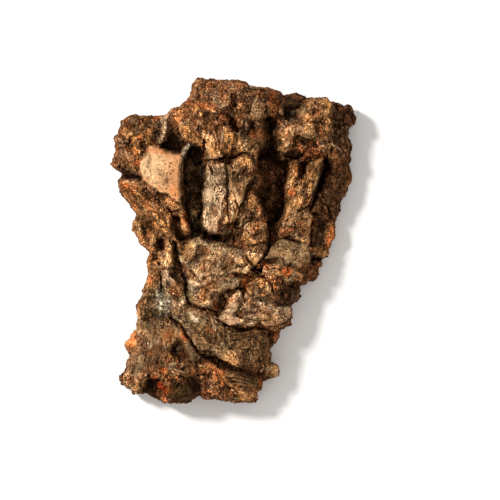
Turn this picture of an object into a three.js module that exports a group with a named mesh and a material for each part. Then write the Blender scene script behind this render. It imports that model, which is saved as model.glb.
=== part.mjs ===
// A loose piece of thick tree bark lying on its inner face, crust upwards.
// Millimetres, +Z up. +Y runs along the grain, from the narrow end to the wide end.
import * as THREE from 'three';

// ---- driving dimensions ----
const CROWN_HEIGHT = 39;      // fissure floor over the table along the middle line
const SIDE_DROP = 20;         // how far the floor falls from the middle line to the long edges
const WIDE_END_RISE = 4;      // extra height of the floor at the wide end
const RIM_LOW = 13;           // lowest floor height near the edge
const EDGE_ROUND = 11;        // width of the rounded edge
const EQUATOR = 0.42;         // height of the widest line of the edge, as a share of the rim
const TUCK = 1.25;            // how far the edge turns in below its widest line, in mesh cells, under 2
const ARCH = 3.8;             // hollow of the inner face along the middle
const ARCH_HALF = 0.6;        // half width of that hollow, as a share of the half width
const CRUMBLE = 1.3;          // height of the loose crust grain
const AXIS_LOW = [-28, -119]; // middle line of the piece at the narrow end
const AXIS_HIGH = [3, 125];   // and at the wide end
const HALF_LOW = 56;          // half width at the narrow end
const HALF_HIGH = 101;        // half width at the wide end
const ACROSS = 46;            // mesh cells across
const ALONG = 56;             // mesh cells along the grain, both even

// edge of the piece seen from above
const OUTLINE = [
  [-24.2, 126.4], [-21.1, 124.8], [-10.1, 125.6], [2.3, 124.8], [10.1, 123.2], [13.3, 120.1], [21.1, 119.3], [30.4, 118.6], [36.7, 115.4], [38.2, 112.3],
  [41.3, 113.9], [49.1, 115.4], [53.8, 113.9], [56.9, 110.8], [74.1, 110.8], [75.7, 107.6], [83.5, 107.6], [86.6, 104.5], [89.7, 106.1], [92.8, 104.5],
  [95.9, 96.7], [95.9, 92], [91.3, 87.4], [89.7, 81.1], [92.8, 73.3], [91.3, 68.6], [91.3, 60.8], [89.7, 59.3], [92.8, 51.5], [91.3, 45.2],
  [88.1, 42.1], [88.1, 35.9], [83.5, 29.6], [83.5, 21.8], [80.3, 15.6], [80.3, 3.1], [74.1, -6.2], [74.1, -12.5], [71, -12.5], [67.9, -20.3],
  [66.3, -21.8], [66.3, -26.5], [64.7, -29.6], [63.2, -31.2], [58.5, -32.8], [55.4, -35.9], [52.3, -35.9], [53.8, -39], [52.3, -42.1], [53.8, -43.7],
  [46, -51.5], [46, -60.8], [44.5, -64], [44.5, -67.1], [36.7, -70.2], [35.1, -78], [28.9, -85.8], [30.4, -87.4], [28.9, -95.2], [35.1, -98.3],
  [35.1, -106.1], [25.7, -107.6], [22.6, -110.8], [22.6, -117], [17.9, -118.6], [19.5, -121.7], [17.9, -124.8], [14.8, -126.4], [7, -126.4], [-0.8, -126.4],
  [-3.9, -124.8], [-14.8, -123.2], [-21.1, -124.8], [-25.7, -121.7], [-35.1, -126.4], [-53.8, -126.4], [-60.1, -123.2], [-67.9, -118.6], [-78.8, -120.1], [-80.3, -113.9],
  [-81.9, -115.4], [-85, -112.3], [-86.6, -113.9], [-88.1, -112.3], [-88.1, -106.1], [-83.5, -101.4], [-81.9, -93.6], [-80.3, -90.5], [-85, -82.7], [-85, -79.6],
  [-80.3, -76.4], [-80.3, -73.3], [-74.1, -68.6], [-75.7, -65.5], [-74.1, -62.4], [-75.7, -51.5], [-71, -42.1], [-72.5, -39], [-69.4, -37.4], [-67.9, -32.8],
  [-66.3, -26.5], [-67.9, -15.6], [-64.7, -9.4], [-74.1, -1.6], [-74.1, 1.6], [-78.8, 7.8], [-78.8, 12.5], [-75.7, 17.2], [-75.7, 20.3], [-88.1, 37.4],
  [-89.7, 45.2], [-86.6, 51.5], [-95.9, 59.3], [-94.4, 64], [-91.3, 70.2], [-92.8, 73.3], [-92.8, 81.1], [-89.7, 82.7], [-86.6, 93.6], [-80.3, 96.7],
  [-75.7, 98.3], [-72.5, 96.7], [-61.6, 96.7], [-52.3, 98.3], [-49.1, 103], [-41.3, 104.5], [-33.5, 112.3], [-32, 121.7], [-28.9, 124.8],
];

// crust plates: outline, height over the fissure floor, slope of the top, slope of the wall
const PLATES = [
  { name: 'ul_mass', h: 5.5, tilt: [0.1, 0.02], wall: 2.2, at: [[-87.4, 90.5], [-82.7, 95.9], [-75.7, 97.5], [-64.7, 95.9], [-56.2, 97.5], [-54.6, 88.9], [-56.2, 77.2], [-62.4, 73.3], [-67.1, 67.9], [-71.8, 60.1], [-71.8, 50.7], [-79.6, 50.7], [-85.8, 54.6], [-94.4, 60.1], [-92.8, 64], [-89.7, 70.2], [-92.8, 74.9], [-92.8, 80.3], [-88.9, 83.5]] },
  { name: 'ul_knob_top', h: 9.4, tilt: [0.1, -0.05], wall: 1.8, at: [[-87.4, 90.5], [-81.9, 95.2], [-75.7, 93.6], [-73.3, 87.4], [-77.2, 79.6], [-83.5, 78], [-88.9, 82.7]] },
  { name: 'ul_knob_mid', h: 9.4, tilt: [0.02, -0], wall: 1.8, at: [[-81.9, 81.1], [-71, 85.8], [-61.6, 88.9], [-56.9, 87.4], [-58.5, 78.8], [-64.7, 73.3], [-72.5, 71.8], [-80.3, 73.3]] },
  { name: 'ul_knob_left', h: 7, tilt: [0.25, -0], wall: 2, at: [[-92.8, 79.6], [-87.4, 81.9], [-81.9, 76.4], [-85, 71.8], [-89.7, 72.5]] },
  { name: 'ul_knob_low', h: 7.8, tilt: [0.22, -0], wall: 1.8, at: [[-93.6, 61.6], [-88.9, 69.4], [-81.9, 70.2], [-74.1, 65.5], [-73.3, 56.2], [-77.2, 52.3], [-85, 56.2]] },
  { name: 'ul_rust', h: 9.4, tilt: [0, -0.1], wall: 2, at: [[-63.2, 95.2], [-56.9, 97.5], [-54.6, 95.9], [-56.2, 92.8], [-61.6, 92.8]] },
  { name: 'block', h: 16.4, tilt: [0.16, -0.02], wall: 4.5, at: [[-71.8, 57.7], [-68.6, 64.7], [-64, 71], [-59.3, 73.3], [-55.4, 69.4], [-48.4, 67.1], [-40.6, 66.3], [-40.6, 56.2], [-41.3, 43.7], [-42.1, 32.8], [-47.6, 32], [-53.8, 36.7], [-62.4, 37.4], [-67.1, 41.3], [-71, 47.6]] },
  { name: 'block_ridge', h: 12.5, tilt: [0.12, 0.05], wall: 3.5, at: [[-53.8, 37.4], [-42.1, 34.3], [-42.1, 25], [-38.2, 21.8], [-35.1, 14], [-33.5, 7], [-36.7, 3.9], [-40.6, 8.6], [-43.7, 18.7], [-48.4, 23.4], [-52.3, 28.9]] },
  { name: 'flank', h: 7, tilt: [0.16, 0.02], wall: 2.4, at: [[-88.9, 46], [-84.2, 49.1], [-77.2, 48.4], [-70.2, 46], [-64.7, 39], [-56.9, 35.1], [-51.5, 28.1], [-46, 19.5], [-42.9, 10.9], [-44.5, 0.8], [-50.7, 1.6], [-57.7, 6.2], [-64.7, 13.3], [-72.5, 19.5], [-77.2, 25], [-82.7, 32], [-88.1, 38.2]] },
  { name: 'flank_up', h: 10.1, tilt: [0.2, 0], wall: 2, at: [[-86.6, 47.6], [-77.2, 47.6], [-70.2, 44.5], [-67.1, 38.2], [-72.5, 37.4], [-80.3, 40.6], [-87.4, 41.3]] },
  { name: 'flank_mid', h: 10.1, tilt: [0.12, 0], wall: 2, at: [[-72.5, 28.1], [-64.7, 31.2], [-56.9, 26.5], [-50.7, 17.2], [-49.1, 6.2], [-56.9, 9.4], [-64.7, 18.7], [-71, 22.6]] },
  { name: 'flank_knob', h: 6.2, tilt: [0.2, 0], wall: 2, at: [[-78, 12.5], [-74.9, 16.4], [-71, 13.3], [-70.2, 5.5], [-67.1, -1.6], [-60.1, -5.5], [-63.2, -8.6], [-67.9, -5.5], [-73.3, 0], [-78, 7]] },
  { name: 'flank_knob2', h: 6.2, tilt: [0.1, 0], wall: 2, at: [[-67.9, 3.1], [-61.6, 5.5], [-56.9, 1.6], [-61.6, -4.7], [-67.9, -2.3]] },
  { name: 'strip', h: 8.6, tilt: [0.1, 0], wall: 2.5, at: [[-56.9, 5.5], [-50.7, 1.6], [-46.8, -4.7], [-46.8, -17.2], [-49.1, -23.4], [-53.8, -21.8], [-56.9, -17.2], [-53, -8.6], [-52.3, -2.3], [-56.9, 1.6]] },
  { name: 'strip_left', h: 5.5, tilt: [0.15, 0], wall: 2, at: [[-67.1, -13.3], [-64, -10.9], [-58.5, -17.2], [-55.4, -25], [-56.9, -38.2], [-64.7, -39], [-68.6, -36.7], [-67.9, -27.3]] },
  { name: 'ridge', h: 10.9, tilt: [0.1, 0], wall: 3, at: [[-56.2, -24.2], [-51.5, -21.8], [-48.4, -27.3], [-42.9, -34.3], [-38.2, -40.6], [-35.9, -51.5], [-38.2, -55.4], [-42.9, -53.8], [-46.8, -56.2], [-48.4, -52.3], [-46.8, -46.8], [-49.1, -39], [-54.6, -34.3]] },
  { name: 'ridge_top', h: 7, tilt: [0.05, 0], wall: 2, at: [[-56.9, -17.2], [-49.1, -17.2], [-46.8, -23.4], [-50.7, -25.7], [-56.9, -23.4]] },
  { name: 'slope', h: 3.9, tilt: [0.1, -0], wall: 2, at: [[-71.8, -39.8], [-64.7, -38.2], [-56.2, -39], [-50.7, -42.1], [-48.4, -51.5], [-49.1, -59.3], [-42.9, -67.1], [-36.7, -76.4], [-33.5, -82.7], [-38.2, -87.4], [-33.5, -92], [-28.9, -95.2], [-29.6, -103.7], [-36.7, -106.1], [-49.1, -104.5], [-60.1, -103], [-66.3, -107.6], [-72.5, -115.4], [-78.8, -117.8], [-81.9, -113.1], [-87.4, -110], [-85.8, -106.1], [-81.1, -99.8], [-79.6, -90.5], [-74.9, -70.2], [-74.1, -54.6]] },
  { name: 'slope_lump', h: 7, tilt: [0.08, 0], wall: 1.6, at: [[-71, -40.6], [-63.2, -39], [-50.7, -43.7], [-49.9, -56.2], [-56.9, -60.8], [-66.3, -60.8], [-71.8, -54.6]] },
  { name: 'slope_low', h: 7, tilt: [0.08, 0], wall: 1.4, at: [[-78.8, -90.5], [-71, -85.8], [-60.1, -85.8], [-53.8, -92], [-49.1, -98.3], [-56.9, -101.4], [-66.3, -103], [-74.1, -99.8], [-79.6, -96.7]] },
  { name: 'chip_left', h: 7.8, tilt: [0.35, 0], wall: 2, at: [[-84.2, -79.6], [-79.6, -73.3], [-74.9, -71.8], [-74.1, -81.9], [-76.4, -85.8], [-80.3, -85.8]] },
  { name: 'smooth_hollow', h: 4.7, tilt: [0, -0.1], wall: 1.2, at: [[-56.9, -68.6], [-47.6, -65.5], [-41.3, -71.8], [-42.9, -79.6], [-49.1, -83.5], [-55.4, -79.6]] },
  { name: 'chip', h: 10.9, tilt: [-0.15, 0], wall: 3, at: [[-41.3, -72.5], [-38.2, -71], [-33.5, -74.1], [-27.3, -85.8], [-27.3, -92], [-32, -92.8], [-35.1, -88.9], [-38.2, -83.5]] },
  { name: 'low_mound', h: 7, tilt: [0, 0], wall: 1.5, at: [[-54.6, -87.4], [-49.1, -85], [-46, -90.5], [-48.4, -95.2], [-53.8, -93.6]] },
  { name: 'lowL_rim', h: 6.2, tilt: [0.12, -0.05], wall: 2.5, at: [[-87.4, -107.6], [-81.9, -102.2], [-73.3, -100.6], [-65.5, -103], [-66.3, -108.4], [-71.8, -114.7], [-77.2, -118.6], [-80.3, -115.4], [-85.8, -111.5]] },
  { name: 'lowL_band', h: 7.8, tilt: [0, 0], wall: 2, at: [[-64.7, -101.4], [-55.4, -96.7], [-46, -98.3], [-36.7, -103], [-28.9, -104.5], [-28.9, -108.4], [-38.2, -106.9], [-49.1, -106.1], [-58.5, -106.1], [-64.7, -106.1]] },
  { name: 'bottom_lump', h: -0.8, tilt: [0, 0], wall: 2, at: [[-52.3, -123.2], [-49.1, -117.8], [-41.3, -113.9], [-28.9, -113.1], [-25.7, -117.8], [-29.6, -122.5], [-35.9, -125.6], [-51.5, -126.4]] },
  { name: 'bottom_red', h: -1.6, tilt: [0.2, 0], wall: 2.5, at: [[-59.3, -110.8], [-55.4, -110.8], [-49.1, -117], [-52.3, -123.2], [-57.7, -120.1]] },
  { name: 'bot_mid', h: 6.2, tilt: [-0.05, 0.06], wall: 2.5, at: [[-26.5, -95.2], [-16.4, -93.6], [-8.6, -98.3], [-5.5, -104.5], [-7, -112.3], [0, -120.1], [3.9, -124.8], [-0.8, -126.4], [-14, -123.2], [-21.8, -124], [-24.2, -117.8], [-23.4, -110], [-27.3, -105.3], [-33.5, -104.5], [-32, -98.3]] },
  { name: 'bot_grain', h: 9.4, tilt: [0, 0.05], wall: 3, at: [[-8.6, -98.3], [2.3, -99.8], [12.5, -101.4], [19.5, -104.5], [21.8, -110], [18.7, -115.4], [11.7, -117], [3.9, -115.4], [-3.1, -110.8], [-7.8, -104.5]] },
  { name: 'bot_tip', h: 6.2, tilt: [0, 0.1], wall: 2.5, at: [[-5.5, -113.9], [5.5, -116.2], [14.8, -117.8], [17.9, -120.1], [17.9, -124.8], [13.3, -125.6], [5.5, -124.8], [0, -121.7]] },
  { name: 'bot_chunk', h: 3.9, tilt: [0, 0], wall: 2.5, at: [[17.9, -108.4], [21.8, -110.8], [21.8, -117], [18.7, -117]] },
  { name: 'finger', h: 6.2, tilt: [0.05, -0.05], wall: 3, at: [[22.6, -104.5], [27.3, -99.1], [32.8, -97.5], [35.1, -101.4], [34.3, -106.1], [27.3, -107.6], [21.8, -108.4]] },
  { name: 'lr', h: 10.1, tilt: [-0.02, -0], wall: 3.2, at: [[-15.6, -87.4], [-12.5, -82.7], [-8.6, -74.1], [-2.3, -71], [7, -71], [17.9, -71.8], [28.1, -72.5], [28.9, -85.8], [28.9, -95.2], [24.2, -101.4], [17.9, -103], [7, -101.4], [-0.8, -95.9], [-8.6, -92]] },
  { name: 'lr_top', h: 12.1, tilt: [0.02, 0], wall: 1.5, at: [[-14.8, -87.4], [-8.6, -81.1], [0.8, -79.6], [8.6, -85.8], [7, -96.7], [2.3, -98.3], [-3.9, -93.6], [-10.1, -91.3]] },
  { name: 'lr_ledge', h: 11.7, tilt: [0, 0], wall: 1.5, at: [[7, -78], [22.6, -78], [27.3, -81.1], [22.6, -84.2], [7, -85]] },
  { name: 'lr_back', h: 3.9, tilt: [0, 0], wall: 3, at: [[30.4, -71], [37.4, -70.2], [35.1, -78], [29.6, -84.2]] },
  { name: 'shelf', h: 13.3, tilt: [0, -0.02], wall: 3.5, at: [[-2.3, -49.1], [5.5, -43.7], [13.3, -44.5], [22.6, -48.4], [33.5, -51.5], [44.5, -53], [45.2, -60.8], [42.9, -66.3], [34.3, -67.9], [25.7, -67.1], [17.9, -64], [5.5, -64.7], [-3.1, -67.1], [-9.4, -62.4], [-8.6, -56.2]] },
  { name: 'shelf_up', h: 11.7, tilt: [-0.08, -0], wall: 2.5, at: [[19.5, -28.9], [32.8, -31.2], [44.5, -35.9], [53, -37.4], [52.3, -43.7], [46.8, -49.9], [43.7, -53], [33.5, -51.5], [22.6, -48.4], [14.8, -44.5]] },
  { name: 'lozenge2', h: 14, tilt: [-0.02, 0], wall: 2.5, at: [[10.1, -36.7], [17.9, -27.3], [24.2, -28.9], [28.9, -34.3], [31.2, -40.6], [24.2, -46], [15.6, -44.5], [10.9, -41.3]] },
  { name: 'pale_knob', h: 13.3, tilt: [0, 0], wall: 2.2, at: [[-2.3, -41.3], [3.1, -37.4], [8.6, -40.6], [7.8, -46.8], [1.6, -49.1], [-2.3, -46]] },
  { name: 'orange_slivers', h: 13.3, tilt: [0, 0], wall: 2.5, at: [[5.5, -33.5], [10.1, -28.1], [13.3, -27.3], [13.3, -31.2], [7.8, -36.7]] },
  { name: 'centre', h: 15.6, tilt: [0.03, -0], wall: 4, at: [[-40.6, -13.3], [-36.7, -6.2], [-32.8, 0], [-26.5, 3.1], [-21.1, -0.8], [-13.3, -2.3], [-5.5, -5.5], [0.8, -7.8], [7, -9.4], [10.1, -17.2], [14, -22.6], [7.8, -28.1], [-0.8, -26.5], [-13.3, -28.9], [-21.1, -31.2], [-25.7, -30.4], [-30.4, -25], [-35.1, -18.7]] },
  { name: 'centre_left', h: 16.8, tilt: [0.06, -0], wall: 2, at: [[-39.8, -13.3], [-35.9, -7], [-31.2, -0.8], [-25.7, 1.6], [-22.6, -4.7], [-25.7, -14], [-30.4, -21.8], [-35.1, -17.9]] },
  { name: 'centre_low', h: 13.3, tilt: [0.02, -0.02], wall: 3.5, at: [[-33.5, -30.4], [-25.7, -30.4], [-13.3, -29.6], [-0.8, -27.3], [5.5, -30.4], [3.1, -37.4], [-2.3, -39.8], [-3.9, -44.5], [-13.3, -42.1], [-11.7, -49.9], [-21.1, -52.3], [-33.5, -50.7], [-35.1, -40.6]] },
  { name: 'centre_lower', h: 13.7, tilt: [0.03, -0], wall: 3.8, at: [[-34.3, -53.8], [-25.7, -54.6], [-14.8, -57.7], [-10.1, -62.4], [-8.6, -70.2], [-14, -82.7], [-19.5, -85.8], [-24.2, -85.8], [-28.9, -79.6], [-35.1, -70.2], [-41.3, -64], [-46, -59.3], [-46.8, -54.6]] },
  { name: 'lower_mid', h: 11.7, tilt: [0, 0], wall: 2, at: [[-14.8, -60.8], [-8.6, -64], [-0.8, -68.6], [5.5, -71.8], [5.5, -79.6], [-5.5, -82.7], [-14.8, -85.8], [-19.5, -85.8], [-14.8, -78]] },
  { name: 'rc_main', h: 14, tilt: [0.02, -0.02], wall: 3.2, at: [[28.9, -5.5], [35.1, 0.8], [40.6, -0.8], [49.1, -2.3], [55.4, -0.8], [60.1, -12.5], [58.5, -16.4], [52.3, -21.1], [44.5, -18.7], [36.7, -14.8], [27.3, -14.8], [22.6, -15.6]] },
  { name: 'rc_top', h: 14, tilt: [0.03, 0.02], wall: 3.2, at: [[38.2, 12.5], [44.5, 17.2], [52.3, 22.6], [59.3, 24.2], [62.4, 17.2], [58.5, 10.9], [58.5, 0.8], [54.6, -2.3], [46, 1.6], [39, 7.8]] },
  { name: 'rc_ridge', h: 12.9, tilt: [0, 0], wall: 2.5, at: [[30.4, 0.8], [35.1, 7], [42.9, 10.1], [50.7, 7.8], [49.1, 3.1], [40.6, 4.7], [33.5, -0.8]] },
  { name: 'rc_low', h: 12.1, tilt: [-0.02, 0.02], wall: 2.5, at: [[21.8, -17.9], [28.9, -17.2], [37.4, -15.6], [49.1, -21.1], [53.8, -25], [56.9, -28.9], [52.3, -34.3], [44.5, -33.5], [36.7, -30.4], [25.7, -28.9], [21.1, -24.2]] },
  { name: 'rc_curl', h: 14, tilt: [0, 0], wall: 3, at: [[33.5, -16.4], [38.2, -14], [41.3, -17.2], [39.8, -21.8], [35.1, -21.8]] },
  { name: 'loz_up', h: 15.6, tilt: [0, -0], wall: 3.5, at: [[6.2, 6.2], [13.3, 14], [19.5, 14], [25.7, 12.5], [26.5, 3.1], [26.5, -2.3], [17.9, -3.9], [11.7, -4.7], [6.2, 0]] },
  { name: 'loz_low', h: 14.4, tilt: [0.02, -0], wall: 3.5, at: [[11.7, -5.5], [19.5, -3.9], [26.5, -2.3], [26.5, -7], [22.6, -14], [16.4, -21.1], [11.7, -17.2], [7.8, -10.1]] },
  { name: 'col_left', h: 15.6, tilt: [-0.03, -0], wall: 4, at: [[-21.8, 54.6], [-18.7, 59.3], [-7, 60.1], [-6.2, 50.7], [-7, 39], [-7.8, 27.3], [-9.4, 17.9], [-10.9, 10.9], [-14.8, 6.2], [-20.3, 8.6], [-23.4, 14], [-22.6, 27.3], [-21.1, 39], [-21.8, 46.8]] },
  { name: 'col_right', h: 14.4, tilt: [-0.05, -0], wall: 3, at: [[-3.9, 58.5], [5.5, 62.4], [12.5, 64], [14.8, 56.2], [17.9, 49.9], [13.3, 43.7], [7.8, 39], [4.7, 28.9], [2.3, 21.1], [-1.6, 13.3], [-3.9, 12.5], [-3.9, 27.3], [-3.9, 42.9]] },
  { name: 'col_facet', h: 10.1, tilt: [-0.05, -0], wall: 2.5, at: [[7.8, 25.7], [13.3, 34.3], [17.9, 26.5], [22.6, 20.3], [22.6, 14.8], [13.3, 14], [7.8, 7.8], [3.1, 8.6], [3.9, 18.7]] },
  { name: 'col_rough', h: 9.4, tilt: [-0.25, -0], wall: 2, at: [[5.5, 67.9], [11.7, 67.1], [15.6, 62.4], [17.9, 53], [22.6, 46.8], [17.9, 39], [11.7, 35.9], [8.6, 40.6], [11.7, 49.9], [5.5, 57.7]] },
  { name: 'col_foot', h: 7.8, tilt: [0, 0], wall: 2, at: [[-10.9, 10.9], [-3.9, 11.7], [2.3, 9.4], [5.5, 4.7], [-0.8, 1.6], [-8.6, 3.1]] },
  { name: 'um_left', h: 13.3, tilt: [0.06, 0.02], wall: 3.5, at: [[-54.6, 94.4], [-49.1, 102.2], [-41.3, 103], [-33.5, 109.2], [-27.3, 106.1], [-22.6, 99.8], [-23.4, 92], [-17.9, 85.8], [-21.1, 79.6], [-21.8, 71], [-26.5, 73.3], [-33.5, 75.7], [-40.6, 80.3], [-46.8, 86.6], [-51.5, 79.6], [-56.2, 77.2]] },
  { name: 'um_edge', h: 13.3, tilt: [0.1, 0], wall: 3.5, at: [[-55.4, 94.4], [-49.9, 101.4], [-47.6, 102.2], [-50.7, 93.6], [-51.5, 84.2], [-53.8, 77.2], [-56.2, 77.2]] },
  { name: 'um_plate', h: 17.2, tilt: [0.02, -0.03], wall: 4, at: [[-21.1, 83.5], [-15.6, 84.2], [-10.9, 78.8], [-9.4, 70.2], [-10.9, 64], [-19.5, 63.2], [-20.3, 70.2], [-21.8, 78]] },
  { name: 'um_plate2', h: 17.2, tilt: [-0.02, -0.02], wall: 3.5, at: [[-8.6, 89.7], [-3.9, 91.3], [2.3, 84.2], [0.8, 76.4], [-1.6, 68.6], [-5.5, 65.5], [-9.4, 69.4], [-8.6, 78], [-7, 82.7]] },
  { name: 'um_fill', h: 11.7, tilt: [0, 0], wall: 2, at: [[-22.6, 99.8], [-14.8, 103], [-7, 99.8], [-2.3, 93.6], [2.3, 82.7], [0.8, 70.2], [-8.6, 65.5], [-21.1, 68.6], [-21.1, 81.1], [-24.2, 90.5]] },
  { name: 'um_top', h: 12.5, tilt: [0, -0.12], wall: 3, at: [[-32.8, 111.5], [-33.5, 117], [-29.6, 124], [-24.2, 125.6], [-10.1, 124.8], [2.3, 124.8], [10.1, 122.5], [12.5, 119.3], [7.8, 113.9], [-0.8, 113.1], [-3.9, 104.5], [-9.4, 99.8], [-16.4, 103], [-22.6, 108.4], [-28.9, 109.2]] },
  { name: 'um_top_or', h: 14.8, tilt: [0, 0], wall: 2.5, at: [[-28.9, 109.2], [-22.6, 109.2], [-16.4, 104.5], [-10.1, 99.8], [-14.8, 96.7], [-22.6, 99.8], [-27.3, 103]] },
  { name: 'um_right', h: 14.8, tilt: [-0.03, -0.05], wall: 3, at: [[2.3, 106.1], [7, 110.8], [13.3, 118.6], [19.5, 117], [23.4, 110.8], [22.6, 106.1], [14.8, 106.1], [13.3, 99.8], [8.6, 98.3], [3.9, 101.4]] },
  { name: 'um_oval', h: 16.8, tilt: [-0.05, -0], wall: 3.5, at: [[14, 99.1], [15.6, 106.1], [19.5, 110.8], [24.2, 108.4], [27.3, 102.2], [25, 95.9], [18.7, 93.6], [14.8, 94.4]] },
  { name: 'um_rust', h: 10.9, tilt: [0, -0.03], wall: 3, at: [[23.4, 116.2], [30.4, 118.6], [36.7, 115.4], [37.4, 110.8], [35.1, 103], [33.5, 95.2], [30.4, 92.8], [28.1, 99.1], [25.7, 107.6]] },
  { name: 'um_bits', h: 13.3, tilt: [-0.03, 0], wall: 3, at: [[3.9, 95.9], [10.1, 95.9], [15.6, 93.6], [19.5, 90.5], [17.2, 85.8], [11.7, 83.5], [6.2, 83.5], [3.9, 88.9]] },
  { name: 'um_lowr', h: 16, tilt: [-0.05, 0], wall: 3.5, at: [[0, 64.7], [-0.8, 70.2], [3.1, 78], [8.6, 81.9], [11.7, 76.4], [9.4, 71], [5.5, 68.6]] },
  { name: 'um_lowr2', h: 10.1, tilt: [-0.3, 0], wall: 2, at: [[11.7, 79.6], [14.8, 83.5], [19.5, 85], [23.4, 78], [23.4, 70.2], [17.2, 65.5], [11.7, 70.2]] },
  { name: 'um_side', h: 5.5, tilt: [-0.4, 0], wall: 2, at: [[17.9, 93.6], [22.6, 95.2], [26.5, 92], [25.7, 78], [22.6, 68.6], [17.9, 70.2], [19.5, 81.9]] },
  { name: 'ur_main', h: 14, tilt: [0, -0.02], wall: 3.2, at: [[35.1, 88.9], [44.5, 91.3], [52.3, 93.6], [54.6, 101.4], [56.9, 108.4], [64.7, 110], [74.9, 110], [76.4, 101.4], [78.8, 92], [77.2, 81.1], [74.1, 76.4], [66.3, 76.4], [55.4, 78], [49.9, 79.6], [46.8, 71.8], [40.6, 65.5], [35.9, 69.4], [34.3, 78]] },
  { name: 'ur_face', h: 16, tilt: [0.03, -0], wall: 2, at: [[52.3, 92], [60.1, 95.2], [67.9, 93.6], [66.3, 85.8], [63.2, 79.6], [53.8, 78.8], [50.7, 84.2]] },
  { name: 'ur_low', h: 11.7, tilt: [0.12, -0], wall: 2, at: [[35.1, 87.4], [44.5, 89.7], [49.9, 85.8], [49.9, 79.6], [46, 71.8], [39.8, 67.1], [35.9, 71.8], [34.3, 79.6]] },
  { name: 'ur_edge', h: 15.6, tilt: [0, 0], wall: 3, at: [[71.8, 110], [75.7, 110], [76.4, 101.4], [78.8, 95.2], [76.4, 93.6], [73.3, 99.8]] },
  { name: 'ur_knob', h: 7.8, tilt: [0, -0], wall: 2.5, at: [[39, 111.5], [43.7, 113.9], [49.9, 114.7], [55.4, 112.3], [54.6, 108.4], [49.9, 106.1], [42.1, 106.9]] },
  { name: 'ur_pink', h: 8.6, tilt: [0, 0], wall: 2.2, at: [[44.5, 75.7], [52.3, 76.4], [61.6, 73.3], [69.4, 71], [70.2, 67.9], [64.7, 62.4], [58.5, 60.1], [53, 62.4], [50.7, 68.6], [44.5, 67.1], [41.3, 69.4]] },
  { name: 'ur_neck', h: 9.4, tilt: [0, 0], wall: 2, at: [[64.7, 76.4], [72.5, 76.4], [78.8, 74.9], [77.2, 70.2], [71, 67.1], [66.3, 70.2]] },
  { name: 'rr', h: 13.3, tilt: [0.02, 0.03], wall: 3.5, at: [[44.5, 46], [46.8, 53], [49.1, 57.7], [51.5, 54.6], [51.5, 49.1], [54.6, 46.8], [58.5, 53], [64, 60.1], [69.4, 64.7], [70.2, 60.1], [67.1, 51.5], [64.7, 43.7], [61.6, 35.9], [58.5, 28.1], [53, 21.8], [44.5, 17.2], [39, 14], [42.1, 22.6], [45.2, 30.4], [41.3, 34.3], [40.6, 39.8]] },
  { name: 'rr_knob', h: 15.2, tilt: [-0.02, 0], wall: 2.5, at: [[41.3, 39], [45.2, 41.3], [50.7, 39.8], [51.5, 33.5], [46, 30.4], [42.1, 33.5]] },
  { name: 'rm_top', h: 6.2, tilt: [-0.04, 0], wall: 2.5, at: [[76.4, 106.9], [83.5, 106.9], [92, 104.5], [95.9, 96.7], [94.4, 91.3], [90.5, 87.4], [85, 87.4], [80.3, 92], [78, 99.8]] },
  { name: 'rm_up', h: 4.7, tilt: [-0.06, 0], wall: 2.2, at: [[78.8, 88.9], [86.6, 87.4], [90.5, 85], [89.7, 80.3], [92, 73.3], [90.5, 69.4], [83.5, 71], [77.2, 75.7], [78.8, 82.7]] },
  { name: 'rm_mid', h: 7, tilt: [-0.06, 0], wall: 2.8, at: [[78, 74.1], [85.8, 73.3], [91.3, 68.6], [91.3, 60.1], [92, 51.5], [90.5, 46], [87.4, 42.1], [87.4, 35.9], [82.7, 31.2], [76.4, 29.6], [70.2, 32.8], [68.6, 38.2], [74.1, 45.2], [75.7, 56.2], [76.4, 64.7]] },
  { name: 'rm_mid2', h: 9.4, tilt: [-0.05, 0], wall: 2.2, at: [[78, 72.5], [85.8, 71.8], [90.5, 67.1], [88.1, 59.3], [81.9, 57.7], [77.2, 64]] },
  { name: 'rm_low', h: 5.5, tilt: [-0.05, 0], wall: 2.2, at: [[68.6, 30.4], [77.2, 28.9], [82.7, 27.3], [82.7, 21.8], [80.3, 16.4], [74.9, 17.2], [68.6, 21.1]] },
  { name: 'rm_rust', h: 6.2, tilt: [0.1, 0], wall: 3, at: [[72.5, 14], [79.6, 14.8], [79.6, 2.3], [75.7, -5.5], [72.5, -7.8], [70.2, 0]] },
  { name: 'rm_dark', h: 6.2, tilt: [-0.1, 0], wall: 2, at: [[60.1, 20.3], [68.6, 20.3], [72.5, 14.8], [70.2, 3.1], [69.4, -4.7], [61.6, -6.2], [59.3, 0], [59.3, 9.4]] },
  { name: 'rm_tan', h: 7.8, tilt: [0, 0], wall: 2.5, at: [[58.5, -7], [66.3, -6.2], [72.5, -7.8], [74.1, -11.7], [69.4, -14], [61.6, -12.5]] },
  { name: 'rm_foot', h: 4.7, tilt: [0, 0], wall: 2.5, at: [[56.2, -22.6], [63.2, -20.3], [66.3, -23.4], [64.7, -28.9], [60.8, -32], [56.2, -32]] },
  { name: 'rm_foot2', h: 7, tilt: [0, 0], wall: 2.2, at: [[52.3, -27.3], [56.9, -26.5], [58.5, -32.8], [54.6, -35.1], [50.7, -34.3]] },
];

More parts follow.
